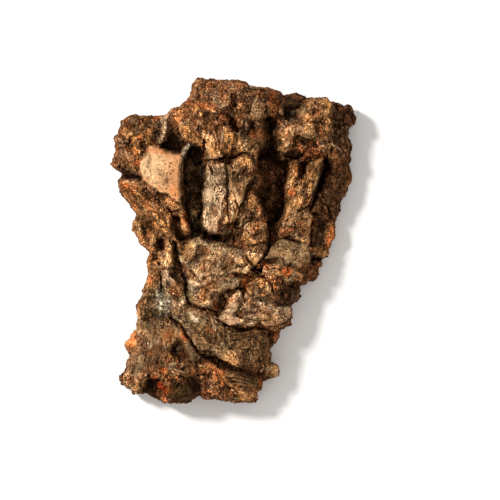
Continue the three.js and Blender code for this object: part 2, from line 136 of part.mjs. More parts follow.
// fissures: path, half width, depth
const FISSURES = [
  { half: 1.6, depth: 7, at: [[-28.9, 59.3], [-24.2, 60.8], [-21.1, 62.4], [-11.7, 63.2], [-5.5, 64.7], [-0.8, 64], [2.3, 64.7], [6.2, 67.9], [10.1, 68.6]] },
  { half: 2, depth: 6.2, at: [[-22.6, 78], [-22.6, 71.8], [-23.4, 65.5]] },
  { half: 1.6, depth: 4.7, at: [[2.3, 82.7], [2.3, 76.4], [0.8, 70.2], [-0.8, 64.7]] },
  { half: 1.9, depth: 5.5, at: [[-5.5, 64], [-5.5, 54.6], [-4.7, 42.9], [-5.5, 31.2], [-6.2, 21.8], [-7, 14]] },
  { half: 1.6, depth: 4.7, at: [[2.3, 31.2], [3.9, 26.5], [0.8, 20.3], [0, 14]] },
  { half: 1.6, depth: 4.7, at: [[11.7, 39], [8.6, 32.8], [5.5, 26.5], [2.3, 18.7], [0.8, 10.9]] },
  { half: 2.4, depth: 10.9, at: [[27.3, 14], [28.1, 6.2], [28.9, -1.6], [27.3, -7.8], [23.4, -13.3], [18.7, -19.5], [14.8, -23.4]] },
  { half: 1.9, depth: 7.8, at: [[7.8, -12.5], [10.1, -17.2], [13.3, -21.8], [17.2, -25.7], [22.6, -28.1], [27.3, -31.2], [30.4, -35.9], [32, -40.6]] },
  { half: 1.6, depth: 5.5, at: [[5.5, -25], [10.1, -28.1], [14.8, -25], [19.5, -26.5]] },
  { half: 1.6, depth: 4.7, at: [[7.8, -37.4], [11.7, -32.8], [14.8, -28.9]] },
  { half: 1.6, depth: 4.7, at: [[3.9, -38.2], [8.6, -38.2], [13.3, -42.1]] },
  { half: 1.6, depth: 6.2, at: [[-28.9, -51.5], [-23.4, -53.8], [-17.9, -54.6], [-12.5, -56.2], [-11.7, -60.1]] },
  { half: 2, depth: 5.5, at: [[-14.8, -42.1], [-8.6, -43.7], [-5.5, -48.4], [-3.9, -54.6]] },
  { half: 1.6, depth: 4.7, at: [[-28.9, -93.6], [-28.1, -98.3], [-29.6, -103.7]] },
  { half: 1.7, depth: 6.2, at: [[40.6, 65.5], [46, 64], [52.3, 64], [55.4, 68.6]] },
  { half: 2.5, depth: 7, at: [[-86.6, 49.9], [-80.3, 49.1], [-71, 49.1]] },
];

// hollows: outline, depth
const HOLLOWS = [
  { depth: 3.9, at: [[-74.9, 95.2], [-64.7, 95.2], [-64.7, 91.3], [-72.5, 89.7]] },
  { depth: 7, at: [[-59.3, 0.8], [-54.6, 1.6], [-52.3, -3.9], [-54.6, -7.8], [-58.5, -6.2]] },
  { depth: 4.7, at: [[-63.2, -9.4], [-58.5, -8.6], [-58.5, -14.8], [-63.2, -16.4]] },
  { depth: 7.8, at: [[-47.6, 17.9], [-41.3, 18.7], [-40.6, 9.4], [-35.1, 4.7], [-33.5, 0], [-41.3, 0], [-47.6, 7.8]] },
  { depth: 3.9, at: [[-67.9, 38.2], [-62.4, 36.7], [-53, 35.9], [-52.3, 30.4], [-60.1, 31.2], [-67.1, 32.8]] },
  { depth: 10.1, at: [[-4.7, 111.5], [0.8, 114.7], [7, 113.1], [5.5, 108.4], [0.8, 104.5], [-3.1, 106.1]] },
  { depth: 10.9, at: [[-5.5, 94.4], [0.8, 95.2], [3.9, 92], [3.9, 85], [-0.8, 85.8], [-4.7, 90.5]] },
  { depth: 4.7, at: [[-23.4, 99.8], [-18.7, 99.8], [-18.7, 95.2], [-22.6, 95.2]] },
  { depth: 6.2, at: [[12.5, 92], [17.2, 92.8], [17.9, 87.4], [13.3, 86.6]] },
  { depth: 4.7, at: [[9.4, 109.2], [12.5, 107.6], [13.3, 101.4], [10.1, 103]] },
  { depth: 7, at: [[39, 104.5], [53, 105.3], [53, 95.2], [44.5, 92.8], [35.9, 94.4]] },
  { depth: 5.5, at: [[63.2, 92.8], [68.6, 93.6], [69.4, 85.8], [64.7, 84.2]] },
  { depth: 7, at: [[50.7, 57.7], [54.6, 57.7], [56.2, 51.5], [53.8, 47.6], [51.5, 49.9]] },
  { depth: 3.9, at: [[-8.6, -34.3], [-2.3, -34.3], [-0.8, -38.2], [-5.5, -39.8]] },
  { depth: 4.7, at: [[-14.8, -43.7], [-7, -44.5], [-3.9, -49.9], [-5.5, -55.4], [-10.1, -51.5]] },
  { depth: 4.7, at: [[-52.3, -81.1], [-42.9, -80.3], [-35.1, -88.9], [-33.5, -94.4], [-41.3, -94.4], [-47.6, -87.4]] },
  { depth: 3.9, at: [[-0.8, -121.7], [5.5, -120.1], [7, -124], [0.8, -124.8]] },
  { depth: 3.9, at: [[-7, -115.4], [-3.1, -114.7], [-1.6, -117.8], [-4.7, -118.6]] },
  { depth: 3.9, at: [[20.3, -21.1], [22.6, -20.3], [22.6, -24.2], [20.3, -24.2]] },
];

// ---- small helpers ----
const clamp = (x, a, b) => Math.min(b, Math.max(a, x));
const lerp = (a, b, t) => a + (b - a) * t;
const ease = (x, a, b) => { const t = clamp((x - a) / (b - a), 0, 1); return t * t * (3 - 2 * t); };

function hash(i, j, k) {
  let h = Math.imul(i, 374761393) ^ Math.imul(j, 668265263) ^ Math.imul(k, 2147483647 - 1390208809);
  h = Math.imul(h ^ (h >>> 13), 1274126177);
  h ^= h >>> 16;
  return ((h >>> 0) / 4294967295) * 2 - 1;
}

function noise(x, y, cell, seed) {
  const u = x / cell, v = y / cell;
  const i = Math.floor(u), j = Math.floor(v);
  const a = ease(u - i, 0, 1), b = ease(v - j, 0, 1);
  return lerp(
    lerp(hash(i, j, seed), hash(i + 1, j, seed), a),
    lerp(hash(i, j + 1, seed), hash(i + 1, j + 1, seed), a), b);
}

// distance to a closed outline, positive inside
function insideDistance(x, y, at) {
  let best = Infinity, inside = false;
  for (let i = 0, j = at.length - 1; i < at.length; j = i++) {
    const [ax, ay] = at[j], [bx, by] = at[i];
    const ex = bx - ax, ey = by - ay;
    const t = clamp(((x - ax) * ex + (y - ay) * ey) / (ex * ex + ey * ey || 1), 0, 1);
    best = Math.min(best, Math.hypot(x - ax - ex * t, y - ay - ey * t));
    if ((ay > y) !== (by > y) && x < ((bx - ax) * (y - ay)) / (by - ay) + ax) inside = !inside;
  }
  return inside ? best : -best;
}

function pathDistance(x, y, at) {
  let best = Infinity;
  for (let i = 1; i < at.length; i++) {
    const [ax, ay] = at[i - 1], [bx, by] = at[i];
    const ex = bx - ax, ey = by - ay;
    const t = clamp(((x - ax) * ex + (y - ay) * ey) / (ex * ex + ey * ey || 1), 0, 1);
    best = Math.min(best, Math.hypot(x - ax - ex * t, y - ay - ey * t));
  }
  return best;
}

const middleOf = (at) => [
  at.reduce((s, p) => s + p[0], 0) / at.length,
  at.reduce((s, p) => s + p[1], 0) / at.length,
];

// how far along the piece (0 narrow end, 1 wide end) and across it (-1 to 1)
function alongAcross(x, y) {
  const t = (y - AXIS_LOW[1]) / (AXIS_HIGH[1] - AXIS_LOW[1]);
  const middle = lerp(AXIS_LOW[0], AXIS_HIGH[0], t);
  const half = lerp(HALF_LOW, HALF_HIGH, clamp(t, 0, 1.1));
  return [t, (x - middle) / half];
}

// ---- outer face ----
function floorHeight(x, y, edge) {
  const [t, s] = alongAcross(x, y);
  let z = CROWN_HEIGHT - SIDE_DROP * s * s - 3 * clamp(s, 0, 2) ** 2;
  z += WIDE_END_RISE * clamp((t - 0.25) / 0.6, 0, 1) - 4 * clamp((0.2 - t) / 0.25, 0, 1);
  const e = clamp(edge, 0, EDGE_ROUND) / EDGE_ROUND;
  return Math.max(z, RIM_LOW) - 8 * (1 - Math.sqrt(1 - (1 - e) ** 2));
}

function crust(x, y) {
  let top = -3;
  for (const p of PLATES) {
    const d = insideDistance(x, y, p.at);
    if (d < -4) continue;
    const [cx, cy] = middleOf(p.at);
    const lid = p.h + p.tilt[0] * (x - cx) + p.tilt[1] * (y - cy);
    top = Math.max(top, Math.min(lid, (d + 0.6) * p.wall + 0.15 * p.h));
  }
  for (const f of FISSURES) {
    top -= f.depth * (1 - ease(pathDistance(x, y, f.at), f.half * 0.4, f.half * 1.6));
  }
  for (const h of HOLLOWS) top -= h.depth * ease(insideDistance(x, y, h.at), -2, 1);
  return top;
}

function outerFace(x, y) {
  const edge = insideDistance(x, y, OUTLINE);
  // a short average keeps the mesh from catching a wall by chance
  let sum = 0;
  const reach = [[0, 0], [1.3, 0], [-1.3, 0], [0, 1.3], [0, -1.3]];
  for (const [dx, dy] of reach) sum += crust(x + dx, y + dy);
  const z = floorHeight(x, y, edge) + sum / reach.length
    + CRUMBLE * noise(x, y, 5, 3) + CRUMBLE * 0.8 * noise(x, y, 13, 8);
  return Math.min(z, 17 + 6.5 * Math.sqrt(Math.max(edge, 0)));
}

// ---- inner face: a shallow hollow between two flat strips ----
function innerFace(x, y) {
  const [, s] = alongAcross(x, y);
  const k = clamp(1 - (s / ARCH_HALF) ** 2, 0, 1);
  return k <= 0 ? 0 : Math.max(0, ARCH * Math.sqrt(k) * (0.85 + 0.15 * noise(x, y, 22, 5)));
}

// ---- a grid that fills the outline ----
function nearestIndex(target) {
  let best = 0;
  OUTLINE.forEach((p, i) => {
    const d = Math.hypot(p[0] - target[0], p[1] - target[1]);
    if (d < Math.hypot(OUTLINE[best][0] - target[0], OUTLINE[best][1] - target[1])) best = i;
  });
  return best;
}

function side(from, to, cells) {
  const n = OUTLINE.length;
  const pts = [OUTLINE[from]];
  for (let i = from; i !== to;) { i = (i + 1) % n; pts.push(OUTLINE[i]); }
  const run = [0];
  for (let i = 1; i < pts.length; i++) {
    run.push(run[i - 1] + Math.hypot(pts[i][0] - pts[i - 1][0], pts[i][1] - pts[i - 1][1]));
  }
  const out = [];
  for (let k = 0; k <= cells; k++) {
    const at = (run[run.length - 1] * k) / cells;
    let i = 1;
    while (i < run.length - 1 && run[i] < at) i++;
    const t = (at - run[i - 1]) / (run[i] - run[i - 1]);
    out.push([lerp(pts[i - 1][0], pts[i][0], t), lerp(pts[i - 1][1], pts[i][1], t)]);
  }
  return out;
}

const NW = nearestIndex([-92, 80]);
const NE = nearestIndex([94, 104]);
const SE = nearestIndex([35, -102]);
const SW = nearestIndex([-87, -112]);
const topSide = side(NW, NE, ACROSS);
const rightSide = side(NE, SE, ALONG);
const bottomSide = side(SE, SW, ACROSS).reverse();
const leftSide = side(SW, NW, ALONG).reverse();

// grid[j][i]: j runs from the wide end to the narrow end, i from left to right
const grid = [];
for (let j = 0; j <= ALONG; j++) {
  const row = [];
  const t = j / ALONG;
  for (let i = 0; i <= ACROSS; i++) {
    const s = i / ACROSS;
    const p = [0, 1].map((c) =>
      lerp(topSide[i][c], bottomSide[i][c], t) + lerp(leftSide[j][c], rightSide[j][c], s)
      - lerp(lerp(topSide[0][c], topSide[ACROSS][c], s), lerp(bottomSide[0][c], bottomSide[ACROSS][c], s), t));
    row.push(p);
  }
  grid.push(row);
}
for (let pass = 0; pass < 80; pass++) {
  for (let j = 1; j < ALONG; j++) {
    for (let i = 1; i < ACROSS; i++) {
      for (const c of [0, 1]) {
        grid[j][i][c] = (grid[j - 1][i][c] + grid[j + 1][i][c] + grid[j][i - 1][c] + grid[j][i + 1][c]) / 4;
      }
    }
  }
}

// ---- the closed body ----
const vertices = [];
const faces = [];
const put = (x, y, z) => vertices.push([x, y, z]) - 1;

// a quad, split along its flatter diagonal, seen counter-clockwise from outside
function quad(a, b, c, d) {
  const drop = (p, q) => Math.abs(vertices[p][2] - vertices[q][2]);
  if (drop(a, c) <= drop(b, d)) faces.push([a, b, c], [a, c, d]);
  else faces.push([a, b, d], [b, c, d]);
}

const rimHeight = (x, y) => floorHeight(x, y, EDGE_ROUND) * EQUATOR + 1.2 * noise(x, y, 12, 21);

const upper = grid.map((row, j) => row.map(([x, y], i) => {
  const onEdge = i === 0 || j === 0 || i === ACROSS || j === ALONG;
  return put(x, y, onEdge ? rimHeight(x, y) : Math.max(outerFace(x, y), rimHeight(x, y) + 3));
}));
for (let j = 0; j < ALONG; j++) {
  for (let i = 0; i < ACROSS; i++) quad(upper[j][i], upper[j + 1][i], upper[j + 1][i + 1], upper[j][i + 1]);
}

// the edge ring, counter-clockwise from above, as grid places
const ring = [];
for (let j = 0; j < ALONG; j++) ring.push([0, j]);
for (let i = 0; i < ACROSS; i++) ring.push([i, ALONG]);
for (let j = ALONG; j > 0; j--) ring.push([ACROSS, j]);
for (let i = ACROSS; i > 0; i--) ring.push([i, 0]);

// a place on the ring moved inwards by whole and part cells
function inward([i, j], cells) {
  const fi = clamp(i, cells, ACROSS - cells), fj = clamp(j, cells, ALONG - cells);
  const i0 = Math.min(Math.floor(fi), ACROSS - 1), j0 = Math.min(Math.floor(fj), ALONG - 1);
  return [0, 1].map((c) => lerp(
    lerp(grid[j0][i0][c], grid[j0][i0 + 1][c], fi - i0),
    lerp(grid[j0 + 1][i0][c], grid[j0 + 1][i0 + 1][c], fi - i0), fj - j0));
}

const equator = ring.map(([i, j]) => upper[j][i]);
const tucked = ring.map((place) => {
  const [x, y] = inward(place, TUCK * 0.35);
  return put(x, y, rimHeight(x, y) * 0.38);
});
for (let k = 0; k < ring.length; k++) {
  const n = (k + 1) % ring.length;
  quad(equator[n], equator[k], tucked[k], tucked[n]);
}

// the inner face, on every second grid line
const lower = [];
for (let j = 0; j <= ALONG; j += 2) {
  const row = [];
  for (let i = 0; i <= ACROSS; i += 2) {
    const onEdge = i === 0 || j === 0 || i === ACROSS || j === ALONG;
    const [x, y] = onEdge ? inward([i, j], TUCK) : grid[j][i];
    row.push(put(x, y, innerFace(x, y)));
  }
  lower.push(row);
}
for (let j = 0; j < ALONG / 2; j++) {
  for (let i = 0; i < ACROSS / 2; i++) quad(lower[j][i], lower[j][i + 1], lower[j + 1][i + 1], lower[j + 1][i]);
}
for (let k = 0; k < ring.length; k += 2) {
  const n = (k + 2) % ring.length;
  const a = lower[ring[k][1] / 2][ring[k][0] / 2];
  const b = lower[ring[n][1] / 2][ring[n][0] / 2];
  faces.push([tucked[k], a, tucked[k + 1]], [a, b, tucked[k + 1]], [b, tucked[n], tucked[k + 1]]);
}

// ---- centre the footprint and rest the body on z = 0 ----
const box = new THREE.Box3().setFromPoints(vertices.map((v) => new THREE.Vector3(...v)));
const middle = box.getCenter(new THREE.Vector3());

const geometry = new THREE.BufferGeometry();
geometry.setAttribute('position', new THREE.Float32BufferAttribute(
  vertices.flatMap(([x, y, z]) => [x - middle.x, y - middle.y, z - box.min.z]), 3));
geometry.setIndex(faces.flat());
geometry.computeVertexNormals();

const bark = new THREE.Mesh(geometry, new THREE.MeshStandardMaterial({
  color: 0x86643f, roughness: 0.95, metalness: 0, flatShading: true,
}));
bark.name = 'bark';

const piece = new THREE.Group();
piece.name = 'bark_piece';
piece.add(bark);
export default piece;
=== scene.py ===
# A loose piece of thick corky tree bark lying on its inner face, crust upwards.
# The crust is laid out on a survey grid seen from above (steps of STEP metres, x right, y down, z up from
# the table), turned into a solid field with overhangs, meshed, and given its finish from the same layout.
import time
import math
import bpy
import numpy as np
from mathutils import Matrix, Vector


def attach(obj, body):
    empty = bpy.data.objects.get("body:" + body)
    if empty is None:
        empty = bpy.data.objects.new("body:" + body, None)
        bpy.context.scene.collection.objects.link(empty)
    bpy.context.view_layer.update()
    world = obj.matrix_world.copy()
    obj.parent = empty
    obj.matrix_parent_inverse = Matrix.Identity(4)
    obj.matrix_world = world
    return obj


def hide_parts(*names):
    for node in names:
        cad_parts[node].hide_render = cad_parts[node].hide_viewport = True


T0 = time.time()


def tick(what):
    print('%6.1f s  %s' % (time.time() - T0, what), flush=True)


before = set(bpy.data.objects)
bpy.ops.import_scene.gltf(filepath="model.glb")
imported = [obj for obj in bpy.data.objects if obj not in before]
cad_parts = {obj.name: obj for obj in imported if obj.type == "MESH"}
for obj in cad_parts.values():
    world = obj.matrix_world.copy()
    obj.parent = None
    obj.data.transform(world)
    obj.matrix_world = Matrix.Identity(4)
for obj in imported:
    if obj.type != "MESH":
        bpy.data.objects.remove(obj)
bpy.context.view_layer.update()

STEP = 0.00078          # metres per survey step
MID_U, MID_V = 233.0, 240.0   # survey place of the row's origin
VIEW_U, VIEW_V = 250.0, 250.0  # survey place straight under the camera
LENS = 150.0            # mm, on a 36 mm sensor
FRAME_STEPS = 500.0     # the picture's width in survey steps at mid height
Z_REF = 30.0            # height at which a survey step is seen at its own size
CAM_H = FRAME_STEPS * STEP * LENS / 36.0   # camera height over Z_REF

OUTLINE = [(202,78),(206,80),(220,79),(236,80),(246,82),(250,86),(260,87),(272,88),(280,92),(282,96),(286,94.8),(296,93.6),(302,95),(306,98),(328,98),(330,102),(340,102),(344,106),(348,104),(352,106),(356,116),(356,122),(350,128),(348,136),(352,146),(351,152),(351,162),(350.5,164.5),(353.6,174),(352.6,182.5),(349.6,187),(347.4,193.5),(341.2,203),(341.2,212),(337.2,220.5),(337.2,236.5),(329.4,249),(329.4,257),(325.6,258),(321.6,267),(319.4,269),(319,275),(317,279),(315,281),(308,282),(304,286),(300,286),(302,290),(300,294),(302,296),(292,306),(292,318),(289.6,321.6),(290,326),(280,330),(278,340),(270,350),(272,352),(271,360.8),(280,364.6),(279.6,377),(267,379.4),(262,382),(262,390),(256,392),(258,396),(257.2,401.2),(252,403.4),(242,403.4),(232,403.4),(228,401.6),(214,399.8),(207,400.4),(200,394.6),(188,403.2),(164,403.4),(156,399.4),(146,393.4),(132,395.4),(129.4,389),(127.4,390),(124,386.4),(121.4,388.4),(118.4,386.4),(119,376),(126,370),(128,360),(130,356),(124,346),(124,342),(130,338),(130,334),(138,328),(136,324),(138,320),(136,306),(143,294),(141.2,290),(144,288),(146,282),(148.6,274),(147,260),(150,252),(139.2,242.6),(138.8,238),(132,230),(132,224),(136,218),(136,214),(120,192),(118,182),(122,174),(110,164),(112,158),(116,150),(114,146),(114,136),(118,134),(122,120),(130,116),(136,114),(140,116),(154,116),(166,114),(170,108),(180,106),(190,96),(192,84),(196,80)]

# plates of the crust: name, outline, height over the fissure floor, slope of the top, steepness of the
# wall, rounding, roughness, direction of the grain in degrees (None where the crust is crumbly), tone
PLATES = [
    ('ul_mass', [(121,124),(127,117),(136,115),(150,117),(161,115),(163,126),(161,141),(153,146),(147,153),(141,163),(141,175),(131,175),(123,170),(112,163),(114,158),(118,150),(114,144),(114,137),(119,133)], 7, (0.1,-0.02), 2.2, 4, 1.4, None, 'o'),
    ('ul_knob_top', [(121,124),(128,118),(136,120),(139,128),(134,138),(126,140),(119,134)], 12, (0.1,0.05), 1.8, 4, 1.6, None, 'o'),
    ('ul_knob_mid', [(128,136),(142,130),(154,126),(160,128),(158,139),(150,146),(140,148),(130,146)], 12, (0.02,0), 1.8, 4, 1.7, None, 'o'),
    ('ul_knob_left', [(114,138),(121,135),(128,142),(124,148),(118,147)], 9, (0.25,0), 2, 3, 1.4, None, 'w'),
    ('ul_knob_low', [(113,161),(119,151),(128,150),(138,156),(139,168),(134,173),(124,168)], 10, (0.22,0), 1.8, 4, 1.6, 50, 't'),
    ('ul_rust', [(152,118),(160,115),(163,117),(161,121),(154,121)], 12, (0,0.1), 2, 2, 0.6, None, 'r'),
    ('block', [(150,146),(157,147),(165,150),(174,153),(183,155),(181.5,165),(181,180),(180,192),(178,202),(172,199),(166,195),(158,192),(152,189),(147,184),(143,179),(141,170),(142,163),(146,154)], 20, (0.2,0.03), 6, 1.2, 0.45, None, 'T'),
    ('block_ridge', [(172,206),(180,203),(184,212),(188,222),(190,231),(186,235),(181,229),(177,216),(172,211)], 16.5, (0.1,0), 3.5, 2.5, 0.8, 65, 'o'),
    ('flank', [(119,181),(125,177),(134,178),(143,181),(150,190),(160,195),(167,204),(174,215),(178,226),(176,239),(168,238),(159,232),(150,223),(140,215),(134,208),(127,199),(120,191)], 9, (0.16,-0.02), 2.4, 4, 1.1, 48, 'o'),
    ('flank_up', [(122,179),(134,179),(143,183),(147,191),(140,192),(130,188),(121,187)], 13, (0.2,0), 2, 3, 1.3, 35, 'o'),
    ('flank_mid', [(140,204),(150,200),(160,206),(168,218),(170,232),(160,228),(150,216),(142,211)], 13, (0.12,0), 2, 3, 1, 50, 'o'),
    ('flank_knob', [(133,224),(137,219),(142,223),(143,233),(147,242),(156,247),(152,251),(146,247),(139,240),(133,231)], 8, (0.2,0), 2, 4, 1.3, None, 'o'),
    ('flank_knob2', [(146,236),(154,233),(160,238),(154,246),(146,243)], 8, (0.1,0), 2, 3, 1.4, None, 't'),
    ('strip', [(160,233),(168,238),(173,246),(173,262),(170,270),(164,268),(160,262),(165,251),(166,243),(160,238)], 11, (0.1,0), 2.5, 3, 1, 80, 't'),
    ('strip_left', [(147,257),(151,254),(158,262),(162,272),(160,289),(150,290),(145,287),(146,275)], 7, (0.15,0), 2, 3, 1.3, None, 'o'),
    ('ridge', [(161,271),(167,268),(171,275),(178,284),(184,292),(187,306),(184,311),(178,309),(173,312),(171,307),(173,300),(170,290),(163,284)], 14, (0.1,0), 5, 3, 0.7, 60, 'w'),
    ('ridge_top', [(160,262),(170,262),(173,270),(168,273),(160,270)], 9, (0.05,0), 2, 3, 1.2, None, 't'),
    ('slope', [(141,291),(150,289),(161,290),(168,294),(171,306),(170,316),(178,326),(186,338),(190,346),(184,352),(190,358),(196,362),(195,373),(186,376),(170,374),(156,372),(148,378),(140,388),(132,391),(128,385),(121,381),(123,376),(129,368),(131,356),(137,330),(138,310)], 5, (0.1,0), 2, 4, 1.1, 80, 'g'),
    ('slope_lump', [(142,292),(152,290),(168,296),(169,312),(160,318),(148,318),(141,310)], 9, (0.08,0), 1.6, 4, 1, None, 'g'),
    ('slope_low', [(132,356),(142,350),(156,350),(164,358),(170,366),(160,370),(148,372),(138,368),(131,364)], 9, (0.08,0), 1.4, 4, 1.4, 60, 'g'),
    ('chip_left', [(125,342),(131,334),(137,332),(138,345),(135,350),(130,350)], 10, (0.35,0), 2, 2, 0.8, 110, 'o'),
    ('smooth_hollow', [(162,328),(170,325),(176,328),(175,336),(172,344),(166,343),(160,336)], 9, (0,0.1), 1.2, 4, 0.15, None, 'R'),
    ('chip', [(178,332),(184,331),(190,339),(196,348),(200,357),(197,362),(190,359),(184,351),(180,342)], 17.5, (-0.15,0), 4, 2.5, 0.2, 55, 'G'),
    ('low_mound', [(168,350),(172,350),(174,356),(172,361),(168,359)], 9, (0,0), 1.5, 3, 0.8, None, 't'),
    ('lowL_rim', [(121,378),(128,371),(139,369),(149,372),(148,379),(141,387),(134,392),(130,388),(123,383)], 8, (0.12,0.05), 2.5, 3, 1.3, 115, 't'),
    ('lowL_band', [(150,370),(162,364),(174,366),(186,372),(196,374),(196,379),(184,377),(170,376),(158,376),(150,376)], 10, (0,0), 2, 3, 1.3, 30, 't'),
    ('bottom_lump', [(167,388),(175,385),(188,383),(198,384),(202,389),(198,397),(188,402),(176,401),(168,397)], -1, (0,0), 2, 4, 0.4, 20, 'k'),
    ('bottom_red', [(157,382),(162,382),(170,390),(166,398),(159,394)], -2, (0.2,0), 2.5, 2, 1, None, 'r'),
    ('bot_mid', [(196,364),(204,360),(214,363),(224,370),(226,380),(230,390),(226,398),(214,401),(203,398),(200,388),(192,376)], 6, (-0.05,-0.06), 3, 3.5, 1, 45, 'R'),
    ('bot_grain', [(225,368),(238,370),(250,371),(257,374),(259,381),(256,389),(247,388),(238,385),(230,380),(225,375)], 12.5, (0,-0.05), 5, 3, 0.15, 15, 't'),
    ('bot_tip', [(226,384),(236,387),(246,391),(256,391),(256,398),(248,402),(238,401),(228,397)], 6, (0,-0.1), 2.5, 3, 1, 30, 'o'),
    ('bot_chunk', [(257,379),(262,377),(263,383),(261,390),(257,389)], 5, (0,0), 2.5, 2, 0.8, None, 'o'),
    ('finger', [(262,368),(266,366),(272,364),(277,365),(279,369),(277,375),(270,378),(263,379),(260,374)], 11, (0.05,0.05), 3, 3, 0.2, 165, 't'),
    ('lr', [(212,333),(226,331),(240,332),(256,330),(268,331),(270,340),(270,352),(270,358),(264,368),(258,371),(246,367),(234,362),(220,360),(212,352)], 12.5, (-0.02,0), 6, 1.5, 0.7, 5, 'b'),
    ('lr_top', [(214,354),(216,348),(226,346),(236,350),(242,358),(243,368),(238,371),(230,365),(221,359)], 15.5, (0.02,0), 4, 3, 0.9, 38, 't'),
    ('lr_ledge', [(242,340),(262,340),(268,344),(262,348),(242,349)], 15, (0,0), 1.5, 2, 0.5, 5, 'G'),
    ('lr_back', [(271,329),(281,327),(279,334),(276,341),(272,347),(270,340)], 5, (0,0), 3, 2, 0.8, None, 'o'),
    ('shelf', [(226,306),(230,301),(236,297),(250,296),(262,301),(276,305),(290,308),(291,314),(287,321),(279,324),(272,327),(266,326),(259,323),(250,325),(243,324),(236,326),(229,325),(222,320),(222,312)], 16, (0,0.02), 7, 1.5, 0.6, 8, 'w'),
    ('shelf_up', [(258,277),(275,280),(290,286),(301,288),(300,296),(293,304),(289,308),(276,306),(262,302),(252,297)], 14.5, (-0.08,0), 2.5, 3, 0.5, 35, 'b'),
    ('lozenge2', [(246,287),(256,275),(264,277),(270,284),(273,292),(264,299),(253,297),(247,293)], 18, (-0.02,0), 5, 3, 0.7, None, 'o'),
    ('pale_knob', [(230,293),(237,288),(244,292),(243,300),(235,303),(230,299)], 17, (0,0), 2.2, 3, 1.3, None, 'w'),
    ('orange_slivers', [(240,283),(246,276),(250,275),(250,280),(243,287)], 17, (0,0), 2.5, 2, 0.8, 125, 'r'),
    ('centre', [(180,257),(185,250),(191,241),(200,236),(205,242),(213,243),(222,243),(232,247),(243,250),(248,257),(253,266),(247,273),(238,273),(230,273.5),(218,276),(205,278.5),(200,279),(194,272),(186,264)], 20, (0.03,0), 7, 1.5, 0.5, 125, 'g'),
    ('centre_left', [(181,257),(186,250),(192,242),(199,238),(204,245),(201,256),(195,268),(188,264)], 22.5, (0.06,0), 2, 2, 0.35, 125, 'w'),
    ('centre_low', [(189,281),(196,278),(204,279),(216,277),(230,275),(240,277),(239,286),(231,289),(223,292),(212,293),(212,300),(213,306),(205,309),(196,307),(189,304),(187,294)], 18, (0.02,0.02), 5, 3, 0.6, 20, 'g'),
    ('centre_lower', [(172,308),(181,306),(192,308),(203,311),(214,316),(220,322),(217,334),(213,344),(209,351),(202,350),(196,342),(188,331),(180,322),(173,317)], 17.5, (0.03,0), 6, 2.5, 0.75, 45, 'G'),
    ('lower_mid', [(210,318),(224,320),(236,330),(238,345),(226,352),(214,356),(206,352),(210,335)], 15.5, (0,0), 2, 3, 0.8, 60, 'G'),
    ('rc_main', [(268,249),(276,242),(282,238),(290,241),(300,243),(308,242),(309,250),(312,258),(309,263),(300,268),(290,265),(280,260),(268,259),(262,260)], 18, (0.02,0.02), 5, 3, 0.4, 30, 'g'),
    ('rc_top', [(284,223),(290,218),(299,212),(307,209),(311,215),(314,219),(311,225),(309,232),(309,244),(303,243),(292,237),(283,230)], 18, (0.03,-0.02), 6, 2.5, 0.5, 145, 't'),
    ('rc_ridge', [(276,237),(280,229),(288,226),(297,228),(300,234),(296,237),(287,236),(280,240)], 16.5, (0,0), 5, 3, 0.8, 160, 'o'),
    ('rc_low', [(261,263),(270,262),(281,260),(296,267),(302,272),(306,277),(300,284),(290,283),(280,279),(266,277),(260,271)], 15.5, (-0.02,-0.02), 2.5, 3, 1, 25, 't'),
    ('rc_curl', [(276,261),(282,258),(286,262),(284,268),(278,268)], 18, (0,0), 3, 2, 0.5, None, 'g'),
    ('loz_up', [(241,232),(250,222),(258,222),(266,224),(267,236),(267,243),(256,245),(248,246),(241,240)], 20, (0,0), 5, 2.5, 0.6, None, 'o'),
    ('loz_low', [(248,247),(258,245),(267,243),(267,249),(262,258),(254,267),(248,262),(243,253)], 18.5, (0.02,0), 5, 2.5, 0.35, 120, 't'),
    ('col_left', [(206,172),(206.5,166),(209,162),(218,162),(225,163),(226,175),(226,190),(225,205),(222,217),(221,227),(217,234),(210,233),(205,227),(203,216),(203,205),(205,192),(206,182)], 20, (-0.03,0), 6.5, 3, 0.45, 90, 'w'),
    ('col_right', [(228,165),(233,160),(240,156),(247,153),(253,158),(256,167),(254,178),(248,186),(244,194),(241,204),(238,214),(233,224),(229,225),(228,205),(227,185)], 18.5, (-0.05,0), 5, 3, 0.7, 75, 't'),
    ('col_facet', [(243,208),(247,198),(250,192),(255,198),(260,206),(263,213),(262,220),(252,221),(244,229),(239,229),(239,217)], 13.5, (-0.05,0), 3.5, 3, 0.6, 115, 't'),
    ('col_rough', [(240,153),(248,154),(253,160),(256,172),(262,180),(256,190),(248,194),(244,188),(248,176),(240,166)], 12, (-0.25,0), 2, 3, 1.2, None, 'b'),
    ('col_foot', [(219,226),(228,225),(236,228),(240,234),(232,238),(222,236)], 10, (0,0), 2, 3, 1.4, None, 'G'),
    ('um_left', [(171,112),(180,108),(190,100),(198,104),(204,112),(203,122),(210,130),(206,138),(205,149),(199,146),(190,143),(183,137),(178,129),(173,120)], 17, (0.06,-0.02), 3.5, 3, 1.15, 60, 'o'),
    ('um_edge', [(168,106),(174,107),(169,113),(167,119),(166,126),(167,133),(165,140),(160,144),(158,142),(161,135),(161,127),(161,118),(164,111)], 18.5, (0,0), 5, 2, 0.45, 95, 'w'),
    ('um_plate', [(204,131),(210,130),(216,134),(220,140),(223,150),(224,157),(216,160),(208,160),(206,150),(204,140)], 22, (0.02,0.03), 4, 2.5, 0.7, 70, 'w'),
    ('um_plate2', [(223,125),(228,125),(233,130),(237,138),(237,146),(232,154),(226,156),(223,150),(221,141),(222,132)], 23, (-0.02,0.02), 3.5, 2.5, 0.7, 70, 'o'),
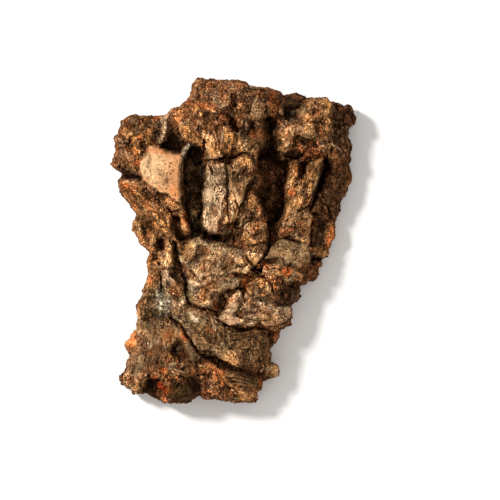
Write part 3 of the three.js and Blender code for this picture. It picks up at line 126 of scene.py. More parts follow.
    ('um_fill', [(204,112),(214,108),(224,112),(230,120),(236,134),(234,150),(222,156),(206,152),(206,136),(202,124)], 15, (0,0), 2, 3, 1.6, None, 'R'),
    ('um_top', [(191,97),(190,90),(195,81),(202,79),(220,80),(236,80),(246,83),(249,87),(243,94),(232,95),(228,106),(221,112),(212,108),(204,101),(196,100)], 16, (0,0.12), 3, 4, 1.05, None, 'b'),
    ('um_top_or', [(196,100),(204,100),(212,106),(220,112),(214,116),(204,112),(198,108)], 19, (0,0), 2.5, 2.5, 1.4, 40, 'o'),
    ('um_right', [(236,104),(242,98),(250,88),(258,90),(263,98),(262,104),(252,104),(250,112),(244,114),(238,110)], 19, (-0.03,0.05), 3, 2.5, 1.3, 110, 'b'),
    ('um_oval', [(250,113),(252,104),(256,98),(260,97),(265,101),(267,108),(266,116),(260,121),(253,120)], 20.5, (-0.06,0.05), 3, 3, 0.3, 110, 't'),
    ('um_rust', [(263,91),(272,88),(280,92),(281,98),(278,108),(276,118),(272,121),(269,113),(266,102)], 14, (0,0.03), 3, 3, 0.9, 90, 'R'),
    ('um_bits', [(238,117),(246,117),(253,120),(258,124),(255,130),(248,133),(241,133),(238,126)], 17, (-0.03,0), 3, 2, 1.4, 100, 'b'),
    ('um_lowr', [(234,136),(244,133),(254,130),(262,128),(266,138),(264,150),(256,156),(246,155),(236,157),(233,148)], 19, (-0.05,0), 2.5, 4, 0.5, 120, 'o'),
    ('um_lowr2', [(248,138),(252,133),(258,131),(263,140),(263,150),(255,156),(248,150)], 15, (-0.3,0), 2, 3, 0.7, 90, 'd'),
    ('um_side', [(256,120),(262,118),(267,122),(266,140),(262,152),(256,150),(258,135)], 7, (-0.4,0), 2, 3, 0.6, 90, 'k'),
    ('ur_main', [(278,126),(290,123),(300,120),(303,110),(306,101),(316,99),(329,99),(331,110),(334,122),(332,136),(328,142),(318,142),(304,140),(297,138),(293,148),(285,156),(279,151),(277,140)], 17.5, (0,0.02), 2.2, 3.5, 0.9, 135, 't'),
    ('ur_face', [(298,122),(306,117),(316,119),(319,126),(316,136),(312,140),(302,139),(297,132)], 21, (0.03,0), 2, 3, 0.55, 130, 'w'),
    ('ur_low', [(277,126),(284,122),(294,122),(300,130),(300,142),(294,152),(286,155),(280,152),(277,140)], 16.5, (0.12,0), 1.6, 4, 0.6, 90, 'b'),
    ('ur_edge', [(325,99),(330,99),(331,110),(334,118),(331,120),(327,112)], 20, (0,0), 3, 1.5, 0.5, 90, 'o'),
    ('ur_knob', [(283,97),(289,94),(297,93),(304,96),(303,101),(297,104),(287,103)], 10, (0,0), 2.5, 3.5, 0.5, 160, 'd'),
    ('ur_pink', [(290,143),(300,142),(312,146),(322,149),(323,153),(316,160),(308,163),(301,160),(298,152),(290,154),(286,151)], 14.5, (0,0), 2.2, 3, 1.2, None, 'R'),
    ('ur_neck', [(316,142),(326,142),(334,144),(332,150),(324,154),(318,150)], 12, (0,0), 2, 2.5, 1, None, 't'),
    ('rr', [(288,180),(290,170),(295,165),(299,168),(300,180),(304,180),(306,172),(308,164),(314,159),(322,157),(323,162),(320,173),(316,183),(313,192),(309,202),(303,210),(292,216),(283,222),(286,212),(289,203),(286,195),(285,186)], 18, (0.02,-0.03), 6, 2.5, 0.8, 115, 'o'),
    ('rr_knob', [(286,190),(291,187),(298,189),(299,197),(292,201),(287,197)], 19.5, (-0.02,0), 2.5, 3, 0.9, None, 'r'),
    ('rm_top', [(331,103),(340,103),(351,106),(356,116),(354,123),(349,128),(342,128),(336,122),(333,112)], 8, (-0.04,0), 2.5, 3.5, 1.4, None, 'd'),
    ('rm_up', [(334,126),(344,128),(349,131),(348,137),(351,146),(349,151),(340,149),(332,143),(334,134)], 6, (-0.06,0), 2.2, 3.5, 1.3, None, 'b'),
    ('rm_mid', [(333,145),(343,146),(350,152),(350,163),(351,174),(349,181),(345,186),(345,194),(339,200),(331,202),(323,198),(321,191),(328,182),(330,168),(331,157)], 9, (-0.06,0), 2.8, 3.5, 1.1, None, 'd'),
    ('rm_mid2', [(333,147),(343,148),(349,154),(346,164),(338,166),(332,158)], 12, (-0.05,0), 2.2, 3, 1.1, None, 'd'),
    ('rm_low', [(321,201),(332,203),(339,205),(339,212),(336,219),(329,218),(321,213)], 7, (-0.05,0), 2.2, 3, 1.2, None, 'b'),
    ('rm_rust', [(326,222),(335,221),(335,237),(330,247),(326,250),(323,240)], 8, (0.1,0), 3, 2, 0.7, 100, 'o'),
    ('rm_dark', [(310,214),(321,214),(326,221),(323,236),(322,246),(312,248),(309,240),(309,228)], 8, (-0.1,0), 2, 3, 0.9, 90, 'd'),
    ('rm_tan', [(308,249),(318,248),(326,250),(328,255),(322,258),(312,256)], 10, (0,0), 2.5, 2.5, 1, 20, 't'),
    ('rm_foot', [(305,269),(314,266),(318,270),(316,277),(311,281),(305,281)], 6, (0,0), 2.5, 3, 1, None, 'R'),
    ('rm_foot2', [(300,275),(306,274),(308,282),(303,285),(298,284)], 9, (0,0), 2.2, 2.5, 1, None, 'b'),
    ('block_chip1', [(141,167),(145,158),(151,150),(152,160),(150,169),(146,174)], 18.2, (0.45,0.05), 4, 1.2, 0.25, None, 'T'),
    ('block_chip2', [(142,168),(147,173),(150,170),(151,180),(147,183),(143,178)], 17.4, (0.35,-0.1), 4, 1.2, 0.3, None, 'T'),
    ('fibre1', [(182,153),(183,149.5),(185,147.5),(185.5,149),(184,151),(183.5,153.5)], 14, (0,0), 6, 1, 0.1, None, 'w'),
    ('fibre2', [(185,148),(188.5,145.5),(190,146),(187,148.5),(185.5,149.5)], 14, (0,0), 6, 1, 0.1, None, 'w'),
    ('round_knob', [(206,123),(209,121.5),(212,123),(213,126),(211,129),(208,129),(205.5,127)], 20, (0,0), 3, 3, 0.4, None, 't'),
    ('centre_flake', [(234,259),(240,255),(247,257),(251,263),(246,265),(236,266)], 22.5, (0,0), 7, 1.2, 0.3, 170, 'w'),
    ('stick_tip', [(181,335),(185,334),(188,340),(186,345),(183,341)], 16, (0,0), 4, 1.5, 0.3, 55, 'o'),
    ('rib_chunk', [(166,286),(172,288),(178,296),(181,303),(178,309),(172,306),(168,297)], 12.5, (0,0), 3, 2, 0.8, 60, 't'),
    ('lm_fill', [(220,164),(232,162),(236,178),(233,200),(231,222),(224,228),(220,224),(221,200)], 15.5, (0,0), 3, 2, 0.7, 92, 'g'),
    ('facet_fill', [(238,188),(246,186),(254,192),(262,206),(262,218),(250,222),(240,226),(236,214)], 11.5, (0,0), 2.5, 3, 0.8, 115, 'b'),
    ('rr_pink', [(297,158),(304,152),(313,154),(312,162),(306,168),(300,166)], 13.5, (0,0), 3, 2, 1, None, 'R'),
    ('fib_a', [(198,362),(206,364),(216,371),(226,380),(224,384),(214,377),(204,370),(197,367)], 9.5, (0,0), 3.5, 1.5, 0.7, 40, 'o'),
    ('fib_b', [(216,366),(226,372),(232,381),(240,388),(250,393),(246,396),(236,391),(226,384),(218,375)], 9, (0,0), 3.5, 1.5, 0.7, 42, 'o'),
    ('block_foot', [(148,187),(156,190),(166,193),(178,198),(182,206),(182,214),(174,212),(162,206),(152,197)], 18.5, (0,0), 3, 2, 0.9, 50, 'o'),
    ('peg_tip', [(262,364),(270,362),(280,364),(281,377),(270,379),(262,377)], 12, (0,0), 3, 3, 0.5, 175, 't'),
    ('thread', [(181.8,154),(182.6,151.5),(183.6,149),(185.8,147),(188,145.4),(189.8,144.8),(190.4,146.4),(188.4,148.2),(186.6,149.6),(185.6,151.8),(184.2,154.4)], 23, (0,0), 30, 0.4, 0.1, 0, 'W'),
    ('wf_a', [(257,161),(263,157),(269,163),(267,170),(264,177),(258,173),(259,167)], 9, (0,0), 1.4, 3, 1.5, None, 'd'),
    ('wf_b', [(269,171),(274,168),(276,172),(280,173),(277,182),(271,184),(268,178)], 8, (0,0), 1.4, 3, 1.5, None, 'd'),
    ('wf_c', [(258,181),(264,178),(269,183),(265,188),(267,197),(260,195),(261,188)], 10, (0,0), 1.4, 3, 1.5, None, 'd'),
    ('wf_d', [(270,189),(275,185),(282,190),(278,196),(279,204),(272,202),(269,196)], 9, (0,0), 1.4, 3, 1.5, None, 'd'),
    ('wf_e', [(263,203),(268,200),(273,205),(270,210),(271,217),(266,216),(265,209)], 10, (0,0), 1.4, 3, 1.5, None, 'd'),
    ('db_a', [(186,163),(190,161),(193,168),(190,173),(192,180),(187,178),(185,170)], 10, (0,0), 1.4, 3, 1.5, None, 'd'),
    ('db_b', [(187,185),(191,182),(195,188),(191,193),(194,202),(189,200),(188,192)], 9, (0,0), 1.4, 3, 1.5, None, 'd'),
    ('db_c', [(190,207),(195,205),(199,212),(195,217),(197,226),(191,222),(192,214)], 9, (0,0), 1.4, 3, 1.5, None, 'd'),
]

# cracks: path, half width, depth
CRACKS = [
    ([(196,164),(202,162),(206,160),(218,159),(226,157),(232,158),(236,157),(241,153),(246,152)], 0.6851, 7.65),
    ([(204,140),(204,148),(203,156)], 0.8432, 6.8),
    ([(236,200),(238,206),(234,214),(233,222)], 0.6851, 5.1),
    ([(248,190),(244,198),(240,206),(236,216),(234,226)], 0.6324, 5.1),
    ([(238,229),(246,224),(252,220)], 0.527, 3.4),
    ([(268,222),(269,232),(270,242),(268,250),(263,257),(257,265),(252,270)], 0.75, 11.9),
    ([(243,256),(246,262),(250,268),(255,273),(262,276),(268,280),(272,286),(274,292)], 0.45, 7),
    ([(238,289),(244,289),(250,294)], 0.6324, 5.1),
    ([(196,306),(203,309),(210,310),(217,312),(218,317)], 0.6324, 6.8),
    ([(218,320),(224,323),(230,326)], 0.5797, 4.25),
    ([(196,360),(197,366),(195,373)], 0.5797, 5.1),
    ([(189,377),(198,376),(206,374),(212,378)], 0.5797, 3.4),
    ([(232,340),(240,340)], 0.6324, 3.4),
    ([(243,349),(252,348),(262,350)], 0.4743, 3.4),
    ([(240,316),(250,319),(262,321),(270,320)], 0.4743, 2.125),
    ([(285,156),(292,158),(300,158),(304,152)], 0.7378, 6.8),
    ([(294,134),(294,142),(292,148)], 0.527, 2.975),
    ([(300,141),(308,143),(318,146)], 0.527, 3.4),
    ([(151,150),(151,158),(151,168),(151,178)], 0.28985, 1.36),
    ([(143,163),(147,166),(150,169)], 0.28985, 1.53),
    ([(151,178),(148,180),(144,182)], 0.2635, 1.275),
    ([(190,108),(192,116),(194,124)], 0.6324, 3.4),
    ([(182,212),(176,210),(170,211)], 0.7905, 3.4),
    ([(160,194),(164,200),(168,208),(172,213)], 0.6851, 2.975),
    ([(143,236),(150,240),(156,246)], 0.6324, 3.4),
    ([(244,245),(252,247),(262,243)], 0.4216, 1.7),
    ([(228,386),(232,391),(236,396)], 0.6851, 4.25),
    ([(206,372),(204,374),(200,374)], 0.6324, 3.4),
    ([(281,226),(290,226),(296,229)], 0.4743, 2.55),
    ([(284,238),(292,240),(300,242)], 0.6851, 2.975),
    ([(262,260),(272,259),(280,262)], 0.4743, 2.55),
    ([(320,200),(326,206),(330,212),(331,220)], 0.7378, 4.25),
    ([(206,165),(205,172)], 0.4216, 3.4),
    ([(210,163),(211,170),(213,174)], 0.4216, 2.975),
    ([(122,176),(130,177),(142,177)], 1.054, 7.65),
    ([(316,212),(313,222),(309,228)], 0.7378, 4.25),
    ([(247,257),(250,262),(254,267),(258,270),(262,272)], 1.1, 9),
    ([(259,264),(262,266),(262,270),(259,269)], 1, 8),
    ([(206,163),(205,167),(204,171)], 0.7, 5),
    ([(209,163),(211,168),(212,174)], 0.7, 5),
    ([(228,163),(232,167),(236,172)], 0.6, 3),
    ([(236,166),(240,172),(238,180)], 0.6, 2.5),
    ([(222,294),(216,296),(214,300)], 0.8, 3),
    ([(236,266),(242,265.5),(249,264)], 0.6, 2.5),
    ([(244,291),(242,297)], 0.6, 3),
    ([(240,290),(237,297)], 0.6, 3),
    ([(236,289),(232,296)], 0.6, 3),
    ([(322,98),(323,104),(325,112)], 0.7, 4),
    ([(300,119),(298,125),(297,132)], 0.5, 2),
    ([(302,122),(308,130),(312,137)], 0.45, 1.5),
    ([(305,120),(311,127),(315,134)], 0.45, 1.5),
    ([(184,211),(186,218),(187,226)], 0.5, 2),
    ([(248,233),(254,236),(262,233)], 0.5, 2),
    ([(251,225),(255,231),(254,238)], 0.5, 2),
    ([(192,236),(198,244),(202,252)], 0.4, 1.2),
    ([(188,243),(193,251),(197,259)], 0.4, 1.2),
    ([(226,160),(226.5,172),(227,185),(227,200),(228,215),(230,226)], 0.75, 3.5),
    ([(234,136),(233,144),(232,152),(231,158)], 0.55, 4),
    ([(222,293),(216,294.5),(211,299)], 0.7, 3),
    ([(243,288),(246,284),(249,280)], 0.6, 4),
    ([(252,277),(248,275),(244,273)], 0.6, 4),
    ([(182,327),(187,335),(192,342),(197,350),(204,357)], 1.1, 6),
    ([(196,357),(195,362),(197,367),(198,371)], 0.55, 5),
    ([(205,357),(214,359),(224,362),(234,368),(242,371)], 1.5, 7),
    ([(240,396),(236,391),(230,387),(225,384)], 0.8, 4),
    ([(262,322),(252,320),(242,317),(237,315)], 0.5, 3),
    ([(172,318),(177,322),(181,328)], 1, 5),
    ([(229,370),(244,373),(258,378)], 0.6, 3.2),
    ([(227,373.5),(243,376.5),(258,381.4)], 0.6, 3.4),
    ([(227,377),(243,380),(257,384.6)], 0.6, 3.4),
    ([(228,380.5),(243,383.6),(256,388)], 0.6, 3.2),
]

# hollows: outline, depth, softness of the edge
HOLLOWS = [
    ([(137,118),(150,118),(150,123),(140,125)], 5, 3),
    ([(128,126),(133,125),(134,129),(130,130)], 4, 2.5),
    ([(144,222),(151,222),(152,232),(146,235),(141,230)], 4, 3),
    ([(157,239),(163,238),(166,245),(163,250),(158,248)], 9, 3),
    ([(152,252),(158,251),(158,259),(152,261)], 6, 3),
    ([(172,217),(180,216),(181,228),(188,234),(190,240),(180,240),(172,230)], 10, 3),
    ([(146,191),(153,193),(165,194),(166,201),(156,200),(147,198)], 5, 3),
    ([(136,216),(142,216),(144,222),(138,222)], 4, 3),
    ([(203,112),(209,112),(209,118),(204,118)], 6, 2.5),
    ([(249,122),(255,121),(256,128),(250,129)], 8, 2),
    ([(245,100),(249,102),(250,110),(246,108)], 6, 2),
    ([(263,98),(267,100),(270,106),(266,106)], 4, 2),
    ([(314,121),(321,120),(322,130),(316,132)], 7, 3),
    ([(332,104),(337,104),(338,110),(333,112)], 4, 2.5),
    ([(292,184),(297,185),(295,190),(292,188)], 3, 2),
    ([(168,208),(176,208),(181,210),(176,213),(168,212)], 3, 2),
    ([(166,344),(178,343),(188,354),(190,361),(180,361),(172,352)], 6, 4),
    ([(172,310),(178,308),(182,310),(177,312)], 2.5, 2),
    ([(136,364),(142,364),(144,370),(138,370)], 3, 3),
    ([(232,396),(240,394),(242,399),(234,400)], 5, 2),
    ([(224,388),(229,387),(231,391),(227,392)], 5, 2),
    ([(259,267),(262,266),(262,271),(259,271)], 5, 1.5),
    ([(322,206),(330,206),(330,216),(324,216)], 3, 3),
    ([(166,118),(171,118),(178,128),(180,137),(172,137),(166,132)], 3.5, 2.5),
    ([(137,116),(150,116),(151,123),(140,124)], 4, 2),
    ([(245,121),(248,121),(248,131),(245,131)], 2, 1),
    ([(336,106),(340,106),(341,112),(337,113)], 3, 2),
    ([(119,166),(127,168),(131,175),(124,174)], 5, 2),
    ([(154,194),(166,194),(167,203),(157,203)], 3, 1.5),
    ([(141,192),(151,192),(152,198),(143,198)], 3, 1.5),
    ([(139,221),(151,221),(152,233),(145,236),(140,230)], 2.5, 1.5),
    ([(306,184),(308,184),(308,187),(306,187)], 1.5, 1.2),
    ([(304,193),(306,193),(306,196),(304,196)], 1.5, 1.2),
    ([(297,167),(301,164),(305,166),(305,172),(303,178),(298,179),(298,172)], 7, 1.5),
    ([(218,299),(224,297),(228,301),(227,309),(221,311),(217,306)], 3, 1.5),
    ([(172,345),(180,343),(186,350),(189,357),(180,358),(172,353)], 5, 2),
    ([(228,97),(231,93),(236,94),(240,97),(238,100),(241,104),(236,107),(232,106),(230,103),(233,101),(230,99)], 9, 1.2),
    ([(231,117),(234,118),(237,122),(236,125),(240,129),(239,132),(235,131),(233,127),(230,123)], 9, 1.2),
    ([(222,121),(225,119),(227,122),(225,125)], 4, 1),
    ([(238,112),(241,111),(242,115),(239,116)], 3, 1),
    ([(219,102),(222,101),(223,104),(220,106)], 3, 1),
    ([(160,331),(168,327),(176,331),(180,341),(176,350),(168,350),(162,342)], 4, 3),
]

# round pores on the smooth pale block
PORES = [(163.5,161),(166,164),(171.5,163),(169.6,166.4),(173,171),(170.5,173.6),(158,169.6),(164,184.2),(166,188.8),(175.3,194.8),(160,157),(168,186)]

# deep gaps that stay open: outline, depth
GAPS = [
    ([(184,158),(190,159),(203,161),(204,175),(203,190),(204,205),(200,222),(203,232),(196,239),(191,239),(190,225),(186,212),(184,200),(184,185),(184,170)], 9),
    ([(264,118),(270,116),(276,122),(276,140),(277,158),(268,162),(262,158),(264,140)], 9),
    ([(160,139),(166,136),(178,137),(187,144),(200,148),(202,159),(192,163),(184,154),(171,150),(162,147)], 8),
    ([(203,230),(212,232),(219,236),(222,242),(212,241),(204,238)], 9),
    ([(148,379),(158,377),(166,386),(168,396),(160,400),(150,397),(142,392),(140,388)], 12),
    ([(282,104),(290,103),(304,104),(303,112),(297,120),(288,121),(281,116)], 5),
    ([(309,214),(316,213),(322,220),(322,236),(318,246),(312,247),(309,236)], 7),
    ([(333,122),(339,126),(337,140),(334,146),(331,140)], 7),
    ([(194,168),(203,168),(204,190),(197,192),(193,180)], 13),
    ([(150,121),(158,121),(157,132),(155,142),(149,144),(146,134)], 5),
    ([(258,152),(266,150),(278,158),(288,160),(289,172),(285,185),(283,198),(284,208),(280,220),(272,224),(268,218),(263,206),(260,196),(260,186),(261,176),(258,164)], 13),
]

# long grooves: path, half width, depth
GROOVES = [
    ([(309,258),(323,259)], 2.4, 10),
    ([(270,333),(279,331),(276,342)], 2, 9),
    ([(255,228),(262,224),(268,222)], 1.4, 5),
    ([(150,252),(158,262),(162,275),(162,290)], 1.5, 5),
    ([(174,241),(176,252),(174,262)], 1.8, 8),
    ([(224,323),(230,328),(238,328),(246,329),(256,327),(264,330),(274,331)], 1, 4),
    ([(326,157),(326,166),(322,178),(319,188)], 2.3, 8),
    ([(318,190),(313,204),(309,212)], 1.1, 5),
    ([(177,259),(181,268),(186,276)], 3, 5),
    ([(186,277),(188,286),(188,296),(190,303)], 2, 8),
]

# patches of another colour: centre, half sizes, turn in degrees, colour, strength
SPOTS = [
    (187, 221, 4, 10, -15, 'orange', 0.425),
    (287, 272, 5, 6, 0, 'orange', 0.95),
    (266, 266, 4, 4, 0, 'orange', 0.595),
    (246, 281, 3, 7, 35, 'orange', 0.68),
    (331, 236, 5, 16, 5, 'orange', 0.595),
    (163, 371, 5, 4, 20, 'orange', 0.51),
    (155, 375, 5, 3, 10, 'orange', 0.425),
    (131, 341, 5, 9, 15, 'orange', 0.595),
    (207, 106, 12, 5, 15, 'orange', 0.51),
    (253, 134, 4, 5, 30, 'orange', 0.51),
    (273, 103, 6, 15, 0, 'orange', 0.28),
    (327, 105, 3, 7, 0, 'gold', 0.7),
    (291, 193, 3, 4, 0, 'orange', 0.68),
    (258, 211, 3, 3, 0, 'orange', 0.51),
    (229, 232, 1.5, 1.5, 0, 'lichen', 0.765),
    (323, 144, 2, 3, 0, 'lichen', 0.595),
    (235, 398, 2, 1.3, 0, 'lichen', 0.595),
    (131, 186, 8, 4, 30, 'orange', 0.2975),
    (176, 122, 5, 5, 0, 'orange', 0.34),
    (243, 104, 5, 4, 20, 'gold', 0.3),
    (256, 228, 5, 4, 0, 'orange', 0.2975),
    (310, 128, 7, 7, 0, 'gold', 0.25),
    (214, 151, 7, 5, 0, 'gold', 0.35),
    (184, 299, 3, 6, 20, 'pale', 0.4),
    (192, 285, 5, 5, 0, 'pale', 0.35),
    (215, 297, 4, 4, 0, 'pale', 0.4),
    (201, 172, 1.3, 4, 10, 'lichen', 0.2975),
    (223, 372, 5, 3, 40, 'orange', 0.425),
    (212, 368, 6, 3, 20, 'orange', 0.2975),
    (248, 398, 6, 2.5, 20, 'orange', 0.34),
    (150, 238, 4, 4, 0, 'orange', 0.255),
    (262, 385, 3, 4, 0, 'orange', 0.425),
    (275, 338, 4, 4, 0, 'orange', 0.2975),
    (302, 276, 4, 5, 0, 'rustbrown', 0.4),
    (315, 252, 6, 3, 20, 'gold', 0.3),
    (263, 299, 6, 4, 0, 'pale', 0.25),
    (240, 148, 4, 4, 0, 'gold', 0.3),
    (222, 346, 5, 4, 20, 'pale', 0.2),
    (142, 372, 6, 3, 20, 'orange', 0.255),
    (132, 380, 5, 5, 0, 'orange', 0.2125),
    (158, 118, 5, 2.6, 0, 'orange', 0.6375),
    (297, 98, 6, 3, 10, 'rustbrown', 0.6),
    (209, 125, 3, 3, 0, 'gold', 0.5),
    (328, 120, 3, 18, 0, 'gold', 0.4),
    (212, 145, 7, 12, -15, 'gold', 0.4),
    (228, 134, 4, 8, -20, 'gold', 0.4),
    (130, 205, 8, 5, 50, 'orange', 0.2125),
    (145, 203, 5, 4, 0, 'gold', 0.3),
    (133, 160, 8, 5, 40, 'orange', 0.2125),
    (245, 160, 7, 7, 0, 'gold', 0.5),
    (252, 201, 4, 9, 20, 'gold', 0.4),
    (292, 192, 5, 5, 0, 'orange', 0.35),
    (296, 170, 3, 4, 0, 'orange', 0.35),
    (288, 231, 9, 3, -10, 'orange', 0.4),
    (190, 252, 7, 9, 35, 'gold', 0.35),
    (244, 261, 6, 3, 0, 'gold', 0.5),
    (178, 290, 4, 12, -25, 'gold', 0.35),
    (240, 306, 10, 5, 0, 'pale', 0.3),
    (270, 318, 14, 5, 0, 'gold', 0.2),
    (233, 300, 6, 4, 0, 'orange', 0.3),
    (320, 251, 6, 4, 20, 'gold', 0.45),
    (196, 292, 6, 6, 0, 'pale', 0.35),
    (212, 190, 7, 22, 0, 'pale', 0.3),
    (208, 212, 5, 12, 0, 'pale', 0.3),
    (160, 300, 6, 9, 10, 'ash', 0.6),
    (166, 306, 5, 7, -20, 'ash', 0.5),
    (158, 290, 4, 5, 0, 'ash', 0.4),
    (158, 295.7, 1.7, 1.5, 133, 'lichen', 0.657475),
    (167.6, 303.1, 1.8, 1.3, 162, 'lichen', 0.368475),
    (159.9, 302.8, 1.4, 1.2, 2, 'lichen', 0.4046),
    (161.3, 314, 1.6, 0.8, 143, 'lichen', 0.3757),
    (161.4, 300.1, 0.7, 1.5, 38, 'lichen', 0.4046),
    (171.5, 300.8, 1, 1.6, 97, 'lichen', 0.570775),
    (165.8, 314.6, 1.5, 1.6, 161, 'lichen', 0.4335),
    (161.4, 304.5, 0.9, 0.8, 54, 'lichen', 0.541875),
    (169.3, 302.2, 1.1, 1, 147, 'lichen', 0.498525),
    (161.1, 307.8, 1.5, 0.8, 176, 'lichen', 0.33235),
    (163, 291.4, 0.7, 1.4, 66, 'lichen', 0.53465),
    (164.3, 302.1, 0.9, 1.6, 35, 'lichen', 0.599675),
    (172.1, 296.4, 1.1, 1, 94, 'lichen', 0.6069),
    (168.4, 307.7, 1.7, 1.5, 7, 'lichen', 0.6647),
    (166.2, 304.7, 1.4, 1.5, 61, 'lichen', 0.657475),
    (159.5, 300.7, 1.1, 0.9, 14, 'lichen', 0.3757),
    (157.7, 284.7, 0.9, 0.7, 178, 'lichen', 0.5202),
    (160.4, 304.3, 1.4, 1.4, 82, 'lichen', 0.47685),
    (171.8, 306.2, 0.7, 1.1, 151, 'lichen', 0.3757),
    (161.8, 288.6, 1.5, 1.4, 19, 'lichen', 0.484075),
    (167.8, 310.6, 1.1, 1.1, 180, 'lichen', 0.6358),
    (167.6, 301.1, 1.3, 1.4, 86, 'lichen', 0.4335),
    (161.1, 303.8, 1.2, 1.6, 173, 'lichen', 0.5491),
    (159.2, 302, 0.8, 0.9, 141, 'lichen', 0.6358),
    (158.3, 309.4, 1.6, 1.3, 120, 'lichen', 0.599675),
    (158.7, 308.5, 1, 1.1, 139, 'lichen', 0.578),
    (160.2, 314.8, 1.5, 1.2, 2, 'lichen', 0.5202),
    (163, 310.2, 1.3, 1.4, 117, 'lichen', 0.614125),
    (159.5, 308.5, 1.6, 1.4, 63, 'lichen', 0.628575),
    (167.4, 295.9, 1.9, 1.6, 93, 'lichen', 0.512975),
    (167, 311.1, 1.8, 1.1, 124, 'lichen', 0.585225),
    (162.7, 298.6, 1.6, 1.2, 120, 'lichen', 0.47685),
    (157.8, 295.3, 1.5, 1.3, 5, 'lichen', 0.382925),
    (157.3, 304.9, 1, 1.3, 114, 'lichen', 0.339575),
    (194, 318, 3, 7, -42, 'pale', 0.85),
    (196, 320, 1.6, 4, -42, 'lichen', 0.595),
    (163, 387, 2.2, 8, -38, 'red', 0.95),
    (166, 392, 1.8, 6, 20, 'orange', 0.7),
    (170, 388, 2, 3, 0, 'orange', 0.5),
    (156, 377, 4, 1.8, 15, 'red', 0.7),
    (163, 370, 3, 3, 0, 'orange', 0.6),
    (168, 336, 5, 8, 10, 'rustbrown', 0.6),
    (184, 339, 2, 5, -30, 'orange', 0.7),
    (170, 355, 1.6, 4, 0, 'gold', 0.6),
    (218, 376, 2, 10, -42, 'orange', 0.5),
    (227, 381, 2, 9, -45, 'gold', 0.45),
    (212, 393, 8, 3, 15, 'orange', 0.4),
    (260, 383, 1.5, 6, 0, 'orange', 0.6),
    (246, 397, 2, 1.5, 0, 'pale', 0.5),
    (277, 335, 2, 7, 20, 'orange', 0.5),
    (275, 370, 4, 4, 0, 'gold', 0.7),
    (231, 364, 3, 9, -55, 'gold', 0.4),
    (216, 352, 2, 5, -35, 'pale', 0.4),
    (203, 363, 3, 2, 30, 'orange', 0.4),
    (192, 374, 4, 2, 20, 'orange', 0.5),
    (180.3, 347, 0.7, 0.7, 0, 'lichen', 0.425),
    (177.4, 346.2, 0.7, 0.7, 0, 'lichen', 0.425),
    (179.2, 346.6, 0.7, 0.7, 0, 'lichen', 0.425),
    (178.4, 345.3, 0.7, 0.7, 0, 'lichen', 0.425),
    (180.3, 348.4, 0.7, 0.7, 0, 'lichen', 0.425),
    (181.3, 350.3, 0.7, 0.7, 0, 'lichen', 0.425),
    (178.7, 353.1, 0.7, 0.7, 0, 'lichen', 0.425),
    (177, 348.6, 0.7, 0.7, 0, 'lichen', 0.425),
    (178.9, 348.7, 0.7, 0.7, 0, 'lichen', 0.425),
    (177.8, 352.5, 0.7, 0.7, 0, 'lichen', 0.425),
    (289.4, 110.4, 0.8, 0.6, 0, 'ash', 0.55),
    (284.6, 116, 0.8, 0.6, 0, 'ash', 0.44),
    (292.9, 120.5, 0.8, 0.6, 0, 'ash', 0.63),
    (290.1, 118.9, 0.8, 0.6, 0, 'ash', 0.56),
    (289.3, 111.6, 0.8, 0.6, 0, 'ash', 0.54),
    (292.6, 120.5, 0.8, 0.6, 0, 'ash', 0.69),
    (293.3, 113.9, 0.8, 0.6, 0, 'ash', 0.66),
    (283, 111.2, 0.8, 0.6, 0, 'ash', 0.53),
    (293.5, 111.5, 0.8, 0.6, 0, 'ash', 0.55),
    (298.2, 114.1, 0.8, 0.6, 0, 'ash', 0.47),
    (286.8, 113.2, 0.8, 0.6, 0, 'ash', 0.69),
    (289.5, 120.6, 0.8, 0.6, 0, 'ash', 0.67),
    (293.1, 112.9, 0.8, 0.6, 0, 'ash', 0.69),
    (291.4, 114.6, 0.8, 0.6, 0, 'ash', 0.43),
    (203.8, 203, 0.6, 0.8, 0, 'lichen', 0.3315),
    (198.2, 181.9, 0.6, 0.8, 0, 'lichen', 0.4165),
    (197.9, 191.7, 0.6, 0.8, 0, 'lichen', 0.4505),
    (202.1, 175.8, 0.6, 0.8, 0, 'lichen', 0.391),
    (196, 228.3, 0.6, 0.8, 0, 'lichen', 0.4505),
    (195.7, 190.3, 0.6, 0.8, 0, 'lichen', 0.2975),
    (203.9, 191.7, 0.6, 0.8, 0, 'lichen', 0.408),
    (198.2, 211.8, 0.6, 0.8, 0, 'lichen', 0.408),
    (201.2, 181.7, 0.6, 0.8, 0, 'lichen', 0.4505),
    (196.3, 205.4, 0.6, 0.8, 0, 'lichen', 0.34),
    (196.3, 205.2, 0.6, 0.8, 0, 'lichen', 0.374),
    (197, 217.5, 0.6, 0.8, 0, 'lichen', 0.408),
    (148.5, 157, 0.8, 8, 8, 'crack', 0.9),
    (147, 166, 3.5, 0.7, 35, 'crack', 0.75),
    (145, 175, 0.7, 5, -20, 'crack', 0.75),
    (151, 172, 0.7, 5, 15, 'crack', 0.6),
    (160, 168, 9, 0.6, 42, 'crack', 0.3),
    (168, 178, 9, 0.6, 42, 'crack', 0.3),
    (158, 182, 7, 0.6, 42, 'crack', 0.3),
    (118, 133, 3, 2.4, 20, 'orange', 0.5),
    (126, 121, 3, 2, 60, 'orange', 0.6),
    (141, 138, 3, 2, 60, 'orange', 0.5),
    (150, 150, 3, 2, 30, 'orange', 0.4),
    (128, 150, 4, 2.5, 30, 'orange', 0.5),
    (137, 163, 4, 2.5, 50, 'orange', 0.5),
    (124, 183, 5, 2.5, 30, 'orange', 0.6),
    (133, 192, 5, 2.5, 50, 'orange', 0.5),
    (146, 205, 6, 2.5, 50, 'orange', 0.4),
    (178, 116, 4, 2.5, 60, 'orange', 0.5),
    (186, 128, 4, 3, 50, 'gold', 0.5),
    (196, 136, 4, 3, 50, 'orange', 0.4),
    (190, 103, 5, 2.5, 30, 'orange', 0.5),
    (240, 84, 5, 3, 20, 'orange', 0.35),
    (222, 92, 4, 2.5, 60, 'orange', 0.3),
